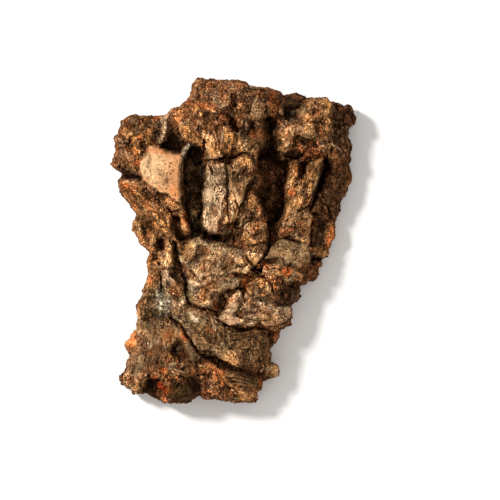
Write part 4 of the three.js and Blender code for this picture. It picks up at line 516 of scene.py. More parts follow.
    (208, 84, 4, 2.5, 60, 'orange', 0.3),
    (310, 128, 8, 9, 0, 'gold', 0.25),
    (260, 134, 6, 8, 20, 'orange', 0.3),
    (240, 110, 4, 6, 0, 'gold', 0.2),
    (150, 281, 3, 6, 0, 'orange', 0.3),
    (276, 372, 2, 4, 10, 'pale', 0.5),
    (268, 369, 6, 1.5, -10, 'pale', 0.4),
    (187, 168, 1.2, 4, 10, 'rustbrown', 0.6),
    (190, 180, 1.4, 5, -10, 'rustbrown', 0.5),
    (186, 192, 1.5, 6, 5, 'rustbrown', 0.6),
    (189, 206, 2, 6, -15, 'rustbrown', 0.6),
    (194, 198, 1, 4, 0, 'rustbrown', 0.4),
    (193, 172, 1, 4, 15, 'rustbrown', 0.4),
    (197, 188, 0.8, 3, 0, 'lichen', 0.255),
    (186, 217, 2, 6, -20, 'orange', 0.5),
    # painted shade: the block's top edge, which slopes away, is painted darker brown
    (161, 151.8, 11, 3.4, 14, 'rustbrown', 0.85),
    (176, 156, 7, 1.6, 10, 'rustbrown', 0.4),
    (184, 336, 2.4, 6, -30, 'orange', 0.6),
    (165.5, 346, 1.6, 4, 5, 'pale', 0.42),
    (149, 346, 3.2, 5, -20, 'pale', 0.42),
    (150, 353, 3, 3, 0, 'orange', 0.4),
    # painted light: a lighter patch on the floor of the fissure
    (183, 268, 2.6, 7, -25, 'rustbrown', 0.6),
    (186, 274, 2, 5, -20, 'ash', 0.4),
    (172, 366, 3, 5, 40, 'pale', 0.4),
    (136, 372, 4, 8, 30, 'pale', 0.35),
    (142, 384, 3, 7, 40, 'gold', 0.4),
    (176, 390, 5, 3, -15, 'gold', 0.3),
    (254, 168, 6, 6, 0, 'rustbrown', 0.3),
    (270, 176, 6, 4, 20, 'rustbrown', 0.3),
    (172, 202, 7, 3, 35, 'rustbrown', 0.5),
    (174, 192, 4, 9, -10, 'orange', 0.22),
]

# painted shade in gaps, fissures, hollows and under ledges, where shadow falls, and some patches of darker or paler
# tone: outline, colour, strength, softness
SHADE_AND_TONE_PATCHES = [
    ([(182,157),(192,158),(203,161),(205,175),(203,190),(204,206),(201,222),(206,232),(196,240),(189,236),(190,225),(186,212),(182,200)], (52, 42, 24), 0.85, 2.5),
    ([(256,150),(266,146),(280,158),(288,162),(290,175),(286,190),(284,200),(286,208),(282,222),(274,228),(268,222),(262,208),(256,198),(262,180),(258,165)], (50, 28, 11), 0.85, 3),
    ([(264,118),(272,116),(277,124),(277,158),(268,160),(262,152)], (50, 28, 11), 0.4, 4),
    ([(171,241),(178,244),(180,258),(178,268),(188,278),(196,290),(194,306),(188,308),(184,292),(176,280),(170,268),(174,256)], (52, 42, 24), 0.8, 1.5),
    ([(203,230),(214,231),(222,236),(224,242),(212,241),(204,238)], (50, 28, 11), 0.8, 2),
    ([(138,378),(150,377),(160,379),(166,386),(168,398),(158,399),(146,394),(139,388)], (50, 28, 11), 0.8, 2),
    ([(320,160),(332,158),(334,168),(326,185),(318,200),(308,212),(303,212),(312,196),(318,180)], (50, 28, 11), 0.8, 2),
    ([(268,330),(282,328),(276,340),(270,348)], (50, 28, 11), 0.8, 1.5),
    ([(228,94),(244,92),(244,104),(232,106)], (50, 28, 11), 0.35, 2),
    ([(225,115),(239,115),(240,132),(228,132)], (50, 28, 11), 0.35, 2),
    ([(117,169),(128,172),(142,176),(142,180),(128,178),(118,174)], (50, 28, 11), 0.8, 1.5),
    ([(142,191),(152,192),(156,198),(148,200),(142,197)], (50, 28, 11), 0.8, 2),
    ([(155,193),(166,193),(168,202),(160,205),(155,200)], (50, 28, 11), 0.8, 2),
    ([(139,222),(150,220),(153,230),(148,237),(140,233)], (50, 28, 11), 0.7, 2.5),
    ([(170,215),(181,215),(182,230),(190,238),(188,246),(178,242),(171,230)], (50, 28, 11), 0.85, 2),
    ([(155,237),(165,237),(167,250),(158,253)], (50, 28, 11), 0.85, 2),
    ([(150,252),(159,252),(159,262),(152,262)], (50, 28, 11), 0.6, 2),
    ([(171,209),(180,208),(181,212),(172,213)], (50, 28, 11), 0.8, 1),
    ([(120,183),(128,184),(134,190),(128,192),(121,189)], (96, 44, 26), 0.5, 2),
    ([(136,214),(144,215),(143,221),(136,220)], (50, 28, 11), 0.6, 2),
    ([(174,338),(183,338),(183,352),(175,352)], (50, 28, 11), 0.8, 2),
    ([(310,222),(325,222),(324,246),(311,248)], (66, 42, 24), 0.7, 3),
    ([(309,255),(323,255),(322,262),(309,262)], (50, 28, 11), 0.8, 1.5),
    ([(331,98),(356,104),(356,124),(346,128),(334,122)], (66, 42, 24), 0.45, 4),
    ([(332,124),(350,130),(350,148),(336,146)], (66, 42, 24), 0.6, 4),
    ([(204,336),(240,334),(268,338),(266,366),(236,366),(206,362)], (120, 92, 58), 0.3, 4),
    ([(143,115),(152,114),(153,124),(144,125)], (50, 28, 11), 0.7, 2),
    ([(128,124),(134,124),(134,129),(128,129)], (50, 28, 11), 0.7, 1.5),
    ([(150,123),(160,121),(160,138),(152,142)], (66, 42, 24), 0.7, 2),
    ([(202,110),(209,110),(209,118),(203,118)], (50, 28, 11), 0.7, 1.5),
    ([(248,121),(257,121),(257,131),(249,130)], (50, 28, 11), 0.7, 1.5),
    ([(314,121),(323,121),(323,131),(315,131)], (50, 28, 11), 0.5, 2),
    ([(240,166),(256,160),(262,178),(254,192),(244,196)], (66, 42, 24), 0.5, 3),
    ([(255,330),(268,332),(268,366),(258,370)], (66, 42, 24), 0.3, 3),
    ([(228,222),(240,222),(242,234),(230,236)], (50, 28, 11), 0.5, 2.5),
    ([(159,146),(163,152),(172,154),(182,154),(190,160),(203,158),(203,148),(190,142),(178,138),(166,136),(160,140)], (70, 52, 32), 0.8, 1.5),
    ([(163,148),(172,150),(182,150),(182,154),(171,153),(163,151)], (96, 68, 42), 0.6, 1),
    ([(166,118),(171,117),(179,128),(181,137),(176,139),(167,137),(165,128)], (74, 46, 30), 0.7, 1.5),
    ([(168,105),(174,107),(169,113),(167,119),(166,126),(167,133),(165,140),(160,144),(158,142),(161,135),(161,127),(161,118),(164,111)], (150, 122, 92), 0.8, 1),
    ([(281,104),(304,103),(304,111),(297,121),(284,121)], (48, 36, 24), 0.6, 3),
    ([(283,93),(305,93),(305,103),(284,103)], (84, 50, 28), 0.7, 2),
    ([(266,122),(280,122),(282,156),(268,158)], (66, 42, 24), 0.5, 4),
    ([(283,152),(300,153),(300,160),(284,160)], (50, 28, 11), 0.8, 1.5),
    ([(123,166),(130,170),(140,176),(141,180),(130,178),(121,173)], (50, 28, 11), 0.85, 1.5),
    ([(153,124),(162,122),(161,138),(157,144),(152,141)], (78, 62, 44), 0.6, 2),
    ([(331,98),(356,104),(356,124),(346,128),(334,122)], (74, 44, 26), 0.5, 3),
    ([(167,386),(180,384),(200,384),(202,390),(196,400),(178,402),(168,396)], (66, 48, 28), 0.7, 2),
    ([(186,378),(194,377),(201,382),(200,389),(193,386)], (50, 28, 11), 0.85, 1.5),
    ([(205,356),(222,361),(238,368),(238,372),(222,367),(206,362)], (50, 28, 11), 0.6, 1.5),
    ([(157,345),(168,346),(180,350),(184,358),(176,358),(162,352)], (50, 28, 11), 0.6, 2),
    ([(258,372),(264,371),(270,377),(264,379),(260,377)], (50, 28, 11), 0.7, 1.5),
    ([(262,378),(266,380),(262,390),(259,392)], (50, 28, 11), 0.6, 1),
    ([(236,329),(250,329),(268,331),(268,335),(252,333),(236,333)], (50, 28, 11), 0.5, 1.5),
    ([(298,166),(305,165),(305,172),(302,179),(298,178)], (50, 28, 11), 0.6, 1.2),
    ([(150,288),(160,286),(172,300),(172,316),(160,318),(148,310)], (96, 86, 64), 0.5, 3),
    ([(203,366),(212,372),(212,384),(203,388)], (66, 42, 24), 0.5, 2),
    ([(218,298),(225,296),(229,301),(227,310),(220,312),(216,307)], (50, 28, 11), 0.35, 1.5),
    ([(164,386),(180,384),(200,386),(202,392),(196,402),(178,403),(166,398)], (66, 48, 28), 0.7, 2),
    ([(170,342),(180,341),(188,350),(191,358),(178,360),(168,352)], (50, 28, 11), 0.5, 2),
    ([(184,341),(190,344),(197,355),(196,361),(189,357)], (70, 54, 38), 0.6, 1.2),
    ([(148,379),(160,378),(158,390),(150,392)], (50, 28, 11), 0.7, 1.5),
    ([(226,331),(269,332),(269,356),(258,366),(226,350)], (112, 84, 56), 0.35, 3),
    ([(128,300),(160,314),(160,330),(128,340)], (132, 104, 70), 0.4, 4),
    ([(126,350),(160,346),(166,366),(128,368)], (112, 86, 58), 0.4, 4),
    ([(222,283),(232,283),(233,294),(224,296)], (84, 62, 42), 0.5, 1.5),
    ([(184,158),(196,157),(200,176),(196,206),(186,220),(181,200),(183,176)], (74, 52, 32), 0.45, 1.5),
    ([(204,356),(212,357),(224,363),(238,369),(252,372),(260,376),(258,379),(246,376),(232,373),(220,369),(210,362)], (50, 28, 11), 0.8, 0.8),
    ([(228,371),(256,377),(257,387),(244,386),(230,379)], (96, 68, 42), 0.35, 1.5),
    ([(158,329),(170,325),(180,332),(183,346),(176,356),(164,352)], (98, 66, 38), 0.6, 2),
    ([(186,382),(196,378),(201,384),(198,391),(190,390)], (50, 28, 11), 0.7, 1.2),
    ([(168,381),(184,379),(198,380),(198,386),(184,386),(170,388)], (50, 28, 11), 0.55, 1.5),
    ([(258,152),(272,147),(281,156),(276,164),(262,162)], (50, 28, 11), 0.7, 2),
    ([(262,190),(284,183),(289,196),(276,206),(264,200)], (50, 28, 11), 0.7, 2.5),
]

# raised edges, painted pale as a highlight where they face up: path, half width, lift
RIMS = [
    ([(180,257),(184,262),(190,267),(196,272),(201,279)], 0.9, 1.8),
    ([(204,279),(211,278),(218,276.5),(225,275),(231,273.5)], 0.7, 1.5),
    ([(283,223),(289,218.5),(296,214),(302,211),(308,209)], 0.8, 1.5),
    ([(308,209),(311,215),(314,219),(311,224)], 0.6, 0.9),
    ([(322,157),(321.5,164),(319,173),(316,182),(313,190)], 0.7, 1.5),
    ([(171,307),(173,316),(180,322),(186,328),(191,337),(196,344),(201,350)], 0.8, 1.35),
    ([(215,293),(222,294),(228,297)], 0.6, 1.35),
    ([(243,348),(250,347.5),(257,348.5),(263,350.5)], 0.6, 1.2),
    ([(245,227),(249,223),(254,221)], 0.6, 0.9),
    ([(234,265.5),(240,265),(250,263)], 0.5, 0.9),
    ([(262,303),(270,306),(278,308),(289,309)], 0.5, 0.9),
    ([(277,262),(280,259),(284,260),(286,264)], 0.7, 1.5),
    ([(283,278),(288,279.5),(293,277),(295,272)], 0.7, 1.2),
    ([(163,284),(168,292),(171,300)], 0.7, 1.05),
    ([(204,132),(205,140),(207,150),(208,158)], 0.5, 0.75),
    ([(224,126),(223,133),(222,140)], 0.6, 0.9),
    ([(251,113),(253,104),(257,98)], 0.6, 0.75),
    ([(332,145),(337,147),(342,151)], 0.5, 0.75),
]

# parallel grooves: outline, direction in degrees, pitch, depth
COMBS = [
    ([(222,366),(236,368),(249,370),(258,374),(261,381),(257,389),(248,391),(238,389),(228,384),(222,374)], 16, 3.2, 3.4),
    ([(262,272),(276,277),(290,284),(302,288),(302,297),(294,306),(280,306),(266,300),(272,292),(270,282)], 52, 2.8, 1.035),
    ([(309,212),(324,214),(326,248),(310,248)], 32, 3.6, 1.495),
    ([(312,247),(328,248),(327,257),(312,257)], 25, 2.6, 1.035),
    ([(205,334),(232,330),(268,333),(270,362),(256,370),(232,362),(210,356)], 8, 5, 1.15),
    ([(203,164),(226,164),(226,232),(203,232)], 92, 4.2, 0.575),
    ([(228,162),(254,160),(248,190),(236,224),(228,224)], 98, 4, 0.69),
    ([(240,298),(290,307),(290,322),(240,320)], 8, 3.2, 0.575),
    ([(120,182),(150,190),(178,226),(168,236),(136,212)], 52, 3.4, 1.035),
    ([(182,255),(200,238),(204,246),(192,266)], 120, 2.6, 0.46),
    ([(204,132),(220,134),(224,156),(208,158)], 80, 3, 0.575),
    ([(160,236),(174,240),(172,268),(162,268)], 82, 3, 0.805),
    ([(164,270),(186,290),(186,310),(172,306)], 62, 3.2, 0.92),
    ([(150,300),(172,300),(186,335),(140,330)], 70, 3.6, 0.69),
    ([(186,244),(246,250),(250,268),(206,278)], 15, 4.5, 0.46),
    ([(284,222),(312,210),(308,240),(290,236)], 140, 3.6, 0.575),
    ([(190,310),(216,316),(214,346),(202,348),(176,318)], 50, 4, 0.575),
    ([(199,366),(228,370),(238,398),(204,398)], 44, 3.2, 0.92),
]

# painted light and shade: fields made lighter or darker, some to light up cast shadows or darken side walls, some to
# even out tone: outline, factor, softness
LIGHT_AND_SHADE_FIELDS = [
    ([(112,112),(160,112),(160,146),(112,150)], 0.78, 4),
    ([(255,84),(284,84),(284,118),(262,116)], 0.85, 4),
    ([(283,160),(316,158),(318,200),(286,222)], 0.86, 4),
    ([(282,212),(340,205),(345,240),(310,245)], 0.9, 4),
    ([(180,236),(206,236),(204,262),(184,264)], 0.8, 3),
    ([(145,268),(160,262),(166,290),(150,300)], 0.8, 4),
    ([(160,270),(188,270),(190,322),(160,316)], 0.84, 4),
    ([(176,310),(222,316),(214,352),(196,348)], 0.85, 4),
    ([(140,330),(180,336),(180,372),(130,372)], 0.8, 5),
    ([(158,352),(196,352),(200,380),(158,376)], 0.75, 4),
    ([(225,330),(270,330),(270,365),(226,362)], 0.86, 4),
    ([(186,215),(205,212),(205,250),(190,246)], 1.1, 4),
    ([(218,190),(246,190),(240,226),(220,226)], 1.12, 3),
    ([(260,256),(306,254),(306,284),(258,280)], 1.05, 3),
    ([(120,182),(146,186),(146,212),(124,208)], 0.85, 4),
    ([(240,90),(268,90),(268,120),(240,118)], 0.9, 4),
    ([(111,112),(160,112),(160,150),(111,150)], 0.85, 4),
    ([(240,70),(268,74),(268,96),(240,92)], 0.85, 4),
    ([(280,84),(334,90),(334,116),(280,112)], 0.82, 4),
    ([(316,160),(336,150),(352,160),(346,204),(318,210)], 0.85, 4),
    ([(318,206),(342,204),(340,232),(320,236)], 0.85, 3),
    ([(262,288),(306,270),(308,300),(262,308)], 0.78, 4),
    ([(282,262),(316,258),(312,290),(282,290)], 0.78, 4),
    ([(258,362),(282,360),(282,382),(258,384)], 0.78, 2),
    ([(200,116),(220,112),(220,134),(200,134)], 0.88, 3),
    ([(200,170),(228,165),(228,200),(200,200)], 0.85, 3),
    ([(228,165),(256,160),(250,192),(228,196)], 0.8, 3),
    ([(160,310),(190,316),(190,336),(160,334)], 0.8, 4),
    ([(228,240),(268,236),(268,262),(240,266)], 1, 4),
    ([(180,255),(196,262),(196,300),(184,304)], 1.15, 4),
    ([(280,232),(312,232),(312,260),(284,262)], 0.88, 4),
    ([(224,288),(244,286),(240,318),(224,318)], 1.1, 4),
    ([(120,328),(146,326),(146,352),(122,352)], 1.25, 4),
    ([(182,364),(202,370),(200,384),(180,382)], 0.85, 3),
    ([(202,366),(224,368),(224,396),(202,392)], 1.25, 4),
    ([(118,370),(142,372),(142,396),(118,392)], 0.88, 4),
    ([(262,128),(282,128),(282,156),(262,158)], 0.8, 3),
    ([(196,220),(224,222),(224,246),(200,246)], 0.95, 3),
    ([(176,92),(204,88),(204,112),(176,116)], 0.92, 4),
    ([(112,112),(142,112),(142,146),(112,150)], 0.9, 4),
    ([(258,84),(284,84),(284,122),(262,120)], 0.8, 3),
    ([(258,362),(282,360),(282,382),(258,384)], 1.3, 2),
    ([(120,182),(150,186),(165,215),(150,236),(130,220)], 1.12, 4),
    ([(112,120),(140,126),(142,168),(114,166)], 1.08, 4),
    ([(186,276),(206,276),(206,306),(188,306)], 1.2, 3),
    ([(226,300),(250,296),(252,322),(228,322)], 1.12, 3),
    ([(206,130),(224,130),(222,160),(206,160)], 0.96, 3),
    ([(246,128),(268,124),(266,156),(246,156)], 0.68, 4),
    ([(204,240),(224,242),(222,256),(204,256)], 0.95, 3),
    ([(262,92),(280,92),(280,122),(264,122)], 0.9, 3),
    ([(262,106),(276,110),(276,150),(264,150)], 0.75, 3),
    ([(258,226),(270,222),(283,228),(284,246),(272,252),(260,246)], 0.7, 4),
    ([(302,226),(318,222),(325,236),(318,250),(303,250)], 1.4, 4),
    ([(282,286),(298,288),(294,306),(280,308)], 0.62, 4),
    ([(284,93),(304,94),(304,103),(284,104)], 0.72, 3),
    ([(242,130),(260,128),(262,146),(244,148)], 0.55, 4),
    ([(224,130),(238,132),(236,148),(222,150)], 0.7, 4),
    ([(160,328),(178,324),(182,342),(164,348)], 1.4, 4),
    ([(222,350),(240,352),(244,366),(226,366)], 1.45, 4),
    ([(164,372),(178,374),(176,384),(164,384)], 1.25, 3),
    ([(142,308),(160,314),(158,330),(140,326)], 0.78, 4),
    ([(142,130),(160,132),(156,145),(140,146)], 0.75, 3),
    ([(122,330),(146,328),(144,366),(124,366)], 1.28, 4),
    ([(302,190),(322,188),(324,212),(314,228),(302,222)], 1.5, 4),
    ([(242,250),(256,250),(260,266),(248,268)], 1.5, 3),
    ([(262,270),(278,272),(280,288),(264,290)], 1.5, 3),
    ([(202,250),(218,252),(218,266),(202,266)], 1.2, 4),
    ([(184,266),(202,270),(200,290),(186,290)], 1.2, 4),
    ([(182,246),(200,250),(196,266),(182,264)], 0.82, 4),
    ([(202,290),(216,294),(216,308),(202,306)], 1.3, 3),
    ([(284,150),(300,150),(320,152),(318,166),(298,168),(284,164)], 0.72, 4),
    ([(204,210),(236,210),(238,226),(206,228)], 1.25, 4),
    ([(284,208),(300,210),(298,226),(284,226)], 1.22, 4),
    ([(262,108),(278,110),(278,128),(264,128)], 0.75, 3),
    ([(222,94),(240,92),(240,106),(224,108)], 1.2, 3),
    ([(162,250),(178,252),(176,268),(164,266)], 1.3, 4),
    ([(202,370),(220,372),(222,388),(204,390)], 1.25, 4),
    ([(242,370),(258,372),(258,386),(244,386)], 0.8, 3),
    ([(256,150),(288,156),(288,200),(260,206)], 1.3, 4),
    ([(226,92),(242,92),(242,134),(228,134)], 1.15, 4),
    ([(124,118),(132,122),(134,150),(124,150)], 0.93, 4),
    ([(206,130),(224,132),(222,146),(208,146)], 0.95, 4),
    ([(184,254),(200,252),(206,262),(196,268),(184,266)], 0.85, 3),
    ([(262,226),(282,226),(282,250),(262,250)], 0.85, 4),
    ([(160,190),(178,192),(180,224),(166,226)], 1.15, 4),
    ([(242,250),(258,252),(260,266),(246,268)], 1.25, 3),
    ([(222,210),(238,212),(238,226),(224,228)], 1.3, 3),
    ([(202,290),(214,292),(216,306),(202,306)], 1.3, 3),
    ([(282,286),(298,288),(294,306),(280,308)], 0.75, 4),
    ([(222,350),(240,352),(244,366),(226,366)], 1.3, 4),
    ([(262,356),(282,358),(282,380),(262,380)], 0.62, 3),
    # painted light: the shadowed gap right of the block is painted twice as bright
    ([(184,162),(198,160),(203,180),(201,214),(190,222),(184,200)], 2, 2),
    ([(205,164),(222,164),(222,228),(206,228)], 0.82, 3),
    ([(260,160),(284,164),(284,206),(264,208)], 1.3, 4),
    ([(240,126),(262,126),(264,150),(242,150)], 0.55, 3),
    ([(224,234),(242,238),(246,250),(214,248),(206,240)], 0.72, 3),
    ([(138,306),(162,312),(180,320),(178,330),(140,328)], 0.75, 3),
    ([(278,284),(302,286),(298,304),(278,308)], 0.72, 3),
    ([(158,326),(180,324),(186,346),(166,350)], 1.4, 3),
    ([(316,164),(328,158),(326,176),(316,196),(308,196)], 0.62, 3),
    ([(180,256),(190,244),(200,240),(206,262),(196,268),(184,266)], 0.8, 3),
    ([(160,238),(176,240),(176,268),(162,268)], 1.35, 3),
    ([(240,368),(260,374),(258,388),(242,386)], 0.75, 2),
    ([(256,224),(286,228),(288,250),(258,250)], 0.85, 3),
    ([(284,94),(304,94),(304,104),(284,106)], 0.7, 3),
    ([(166,188),(180,200),(182,226),(168,228)], 1.3, 3),
    ([(184,76),(202,78),(200,92),(186,96)], 1.2, 3),
    ([(222,294),(244,296),(242,306),(224,306)], 1.2, 3),
    ([(264,272),(284,274),(284,290),(268,292)], 1.3, 3),
    ([(242,270),(258,272),(258,288),(244,286)], 0.85, 3),
    ([(222,234),(242,238),(246,250),(226,250)], 0.75, 3),
    ([(256,226),(308,226),(306,250),(258,250)], 0.87, 4),
    ([(182,256),(198,248),(206,262),(190,270)], 0.84, 3),
    ([(140,306),(162,312),(180,318),(180,332),(142,330)], 0.74, 3),
    ([(177,256),(189,262),(190,282),(180,280)], 1.8, 2),
    ([(242,368),(258,372),(258,388),(244,388)], 0.72, 2),
    ([(120,262),(152,262),(148,290),(140,290)], 0.85, 3),
]

# calmer areas: outline, amount, softness
QUIET = [
    ([(160,332),(170,326),(180,330),(184,342),(190,352),(192,360),(180,360),(168,352),(160,342)], 0.75, 2),
    ([(166,386),(184,383),(200,386),(202,394),(194,402),(176,402),(166,396)], 0.6, 2),
    ([(225,368),(258,375),(258,389),(228,384)], 0.6, 2),
    ([(226,340),(268,338),(268,364),(240,362)], 0.35, 4),
    ([(256,152),(290,156),(288,200),(268,216),(258,190)], 0.4, 4),
    ([(316,160),(336,150),(352,160),(344,206),(320,208)], 0.3, 4),
    ([(130,326),(160,322),(166,366),(128,368)], 0.4, 5),
    ([(282,104),(302,104),(302,118),(284,120)], 0.5, 3),
    ([(178,331),(185,331),(200,357),(196,362),(184,351)], 0.5, 1),
    ([(268,240),(308,240),(312,262),(296,268),(266,260)], 0.35, 3),
    ([(184,244),(246,250),(252,270),(206,278),(186,264)], 0.2, 4),
]

TONE = {  # lit colour of each kind of crust, sRGB
    'T': (214, 166, 118), 'W': (255, 238, 204), 'w': (174, 138, 103), 't': (160, 119, 78), 'g': (150, 118, 82), 'G': (136, 105, 70),
    'b': (118, 80, 50), 'd': (88, 58, 36), 'o': (168, 118, 70), 'r': (176, 100, 54), 'R': (118, 70, 40), 'k': (80, 54, 35),
}


# ---------------------------------------------------------------- noise
def lattice(seed, shape):
    return (np.random.RandomState(seed).rand(*shape) * 2 - 1).astype(np.float32)


def spline(f):
    return ((1 - f) ** 3 / 6, (3 * f ** 3 - 6 * f ** 2 + 4) / 6, (-3 * f ** 3 + 3 * f ** 2 + 3 * f + 1) / 6, f ** 3 / 6)


def noise2(u, v, cell, seed, angle=0.0, stretch=1.0):
    a = math.radians(angle)
    x = (u * math.cos(a) + v * math.sin(a)) / (cell * stretch)
    y = (-u * math.sin(a) + v * math.cos(a)) / cell
    n = 256
    grid = lattice(seed, (n, n))
    xi = np.floor(x).astype(np.int64)
    yi = np.floor(y).astype(np.int64)
    wx = spline((x - xi).astype(np.float32))
    wy = spline((y - yi).astype(np.float32))
    out = np.zeros(x.shape, np.float32)
    for j in range(4):
        row = np.zeros(x.shape, np.float32)
        for i in range(4):
            row += wx[i] * grid[(yi + j) % n, (xi + i) % n]
        out += wy[j] * row
    return out * 2.2


def fbm(u, v, cell, octaves, seed, gain=0.55, angle=0.0, stretch=1.0, ridge=False):
    total, amp, norm = 0, 1.0, 0
    for k in range(octaves):
        n = noise2(u, v, cell / 2 ** k, seed + 17 * k, angle, stretch)
        if ridge:
            n = 1 - 2 * np.abs(n)
        total = total + amp * n
        norm += amp
        amp *= gain
    return total / norm


def poly_sd(u, v, poly):
    """distance to a closed outline, positive inside"""
    p = np.array(poly, float)
    d2 = np.full(u.shape, 1e9, np.float32)
    inside = np.zeros(u.shape, bool)
    for (ax, ay), (bx, by) in zip(p, np.roll(p, -1, 0)):
        ex, ey = bx - ax, by - ay
        run = ex * ex + ey * ey
        if run < 1e-9:
            continue
        wx = u - ax
        wy = v - ay
        t = np.clip((wx * ex + wy * ey) / run, 0, 1)
        d2 = np.minimum(d2, (wx - ex * t) ** 2 + (wy - ey * t) ** 2)
        cross = ex * wy - ey * wx
        inside ^= ((ay <= v) & (by > v) & (cross > 0)) | ((ay > v) & (by <= v) & (cross < 0))
    d = np.sqrt(d2)
    return np.where(inside, d, -d)


def line_d(u, v, path):
    d2 = np.full(u.shape, 1e9, np.float32)
    for (ax, ay), (bx, by) in zip(path[:-1], path[1:]):
        ex, ey = bx - ax, by - ay
        wx = u - ax
        wy = v - ay
        t = np.clip((wx * ex + wy * ey) / (ex * ex + ey * ey + 1e-9), 0, 1)
        d2 = np.minimum(d2, (wx - ex * t) ** 2 + (wy - ey * t) ** 2)
    return np.sqrt(d2)


def smin(a, b, k):
    h = np.clip(0.5 + 0.5 * (b - a) / k, 0, 1)
    return b + (a - b) * h - k * h * (1 - h)


def ease(x, a, b):
    t = np.clip((x - a) / (b - a), 0, 1)
    return t * t * (3 - 2 * t)


def blur(a, sigma):
    """gaussian, separable, edges repeated"""
    r = max(1, int(3 * sigma + 0.5))
    k = np.exp(-0.5 * (np.arange(-r, r + 1) / sigma) ** 2)
    k /= k.sum()
    for axis in (0, 1):
        pad = [(0, 0), (0, 0)]
        pad[axis] = (r, r)
        b = np.pad(a, pad, mode='edge')
        out = np.zeros_like(a)
        for i, w in enumerate(k):
            s = [slice(None), slice(None)]
            s[axis] = slice(i, i + a.shape[axis])
            out += w * b[tuple(s)]
        a = out
    return a


def cells2(u, v, cell, seed, angle=0.0, stretch=1.0):
    """flakes: place within the nearest cell, distance to its edge, and three numbers for the cell"""
    a = math.radians(angle)
    x = (u * math.cos(a) + v * math.sin(a)) / (cell * stretch)
    y = (-u * math.sin(a) + v * math.cos(a)) / cell
    n = 256
    r = np.random.RandomState(seed).rand(5, n, n).astype(np.float32)
    xi = np.floor(x).astype(int)
    yi = np.floor(y).astype(int)
    f1 = np.full(x.shape, 9.0, np.float32)
    f2 = np.full(x.shape, 9.0, np.float32)
    best = np.zeros((5,) + x.shape, np.float32)
    for dj in (-1, 0, 1):
        for di in (-1, 0, 1):
            q = r[:, (yi + dj) % n, (xi + di) % n]
            dx = xi + di + 0.1 + 0.8 * q[0] - x
            dy = yi + dj + 0.1 + 0.8 * q[1] - y
            d = dx * dx + dy * dy
            new = d < f1
            f2 = np.where(new, f1, np.minimum(f2, d))
            f1 = np.where(new, d, f1)
            best = np.where(new, np.stack([dx, dy, q[2], q[3], q[4]]), best)
    return -best[0], -best[1], np.sqrt(f2) - np.sqrt(f1), best[2], best[3], best[4]


def layers(x, step):
    """the surface breaks off in thin layers: flat treads with steep short steps"""
    n = np.floor(x / step)
    return step * (n + 0.25 * (x / step - n) + 0.75 * ease(x / step - n, 0.34, 0.66))


def flakes(u, v, cell, seed, lift, tilt, angle=0.0, stretch=1.0):
    px, py, edge, a, b, c = cells2(u, v, cell, seed, angle, stretch)
    return lift * (2 * a - 1) + tilt * cell * ((2 * b - 1) * px + (2 * c - 1) * py), edge, a


# ---------------------------------------------------------------- the layout as maps
S = 2.0                                  # samples per step
U0, U1, V0, V1 = 102.0, 364.0, 70.0, 410.0
U, V = np.meshgrid(np.arange(U0, U1, 1 / S, dtype=np.float32), np.arange(V0, V1, 1 / S, dtype=np.float32))

warp_u = 1.5 * fbm(U, V, 9, 3, 11, 0.6)
warp_v = 1.5 * fbm(U, V, 9, 3, 57, 0.6)
UU, VV = U + warp_u, V + warp_v
fray = 1.5 * fbm(U, V, 5.0, 3, 301, 0.75)
SD = poly_sd(U + 0.5 * warp_u, V + 0.5 * warp_v, OUTLINE).astype(np.float32)


def near(u, v, shape, m):
    q = np.array(shape, float)
    i0 = max(0, int((q[:, 0].min() - m - U0) * S))
    i1 = min(U.shape[1], int((q[:, 0].max() + m - U0) * S) + 1)
    j0 = max(0, int((q[:, 1].min() - m - V0) * S))
    j1 = min(U.shape[0], int((q[:, 1].max() + m - V0) * S) + 1)
    return slice(j0, j1), slice(i0, i1)


# middle line of the piece, across position
along = (V - 392.0) / (80.0 - 392.0)
across = (U - (197 + 40 * along)) / (72 + 58 * np.clip(along, 0, 1.1))
dome = 50 - 26 * across ** 2 - 4 * np.clip(across, 0, 2) ** 2
dome = dome + 5 * np.clip((along - 0.25) / 0.6, 0, 1) - 5 * np.clip((0.2 - along) / 0.25, 0, 1)
e = np.clip(SD, 0, 14) / 14
FLOOR = np.maximum(dome, 17) - 10 * (1 - np.sqrt(np.clip(1 - (1 - e) ** 2, 0, 1)))

REL = (-4 + 2.4 * fbm(U, V, 7, 4, 5, 0.6)).astype(np.float32)
WHO = np.full(U.shape, -1, np.int32)
for i, (name, poly, h, tilt, wall, rnd, rough, grain, tone) in enumerate(PLATES):
    w = near(U, V, poly, 12)
    u, v = U[w], V[w]
    d = poly_sd(UU[w], VV[w], poly) + fray[w]
    c = np.mean(poly, 0)
    top = h + tilt[0] * (u - c[0]) + tilt[1] * (v - c[1])
    if grain is None:
        top = top + layers(1.9 * rough * fbm(u, v, 11, 2, 100 + i, 0.5, 55, 1.5), 1.6) + rough * (0.6 * fbm(u, v, 4, 3, 400 + i, 0.65, ridge=True) + 0.5 * fbm(u, v, 1.9, 2, 430 + i, 0.7))
        top = top + rough * flakes(UU[w], VV[w], 7, 500 + i, 0.5, 0.22)[0]
    else:
        top = top + layers(1.7 * rough * fbm(u, v, 7.5, 2, 100 + i, 0.5, grain, 3.4) + 0.6 * rough * fbm(u, v, 14, 2, 400 + i, 0.5), 1.3) + 0.5 * rough * fbm(u, v, 2.0, 3, 430 + i, 0.75, grain, 1.8)
        top = top + 0.9 * rough * (fbm(u, v, 2.6, 2, 450 + i, 0.6, grain, 4.5, ridge=True) - 0.2)
    z = smin(top, (d + 0.8) * wall + h * 0.3, rnd * 0.8)
    z = np.where(d > -6, z, -9)
    WHO[w] = np.where(z > REL[w], i, WHO[w])
    REL[w] = np.maximum(REL[w], z)
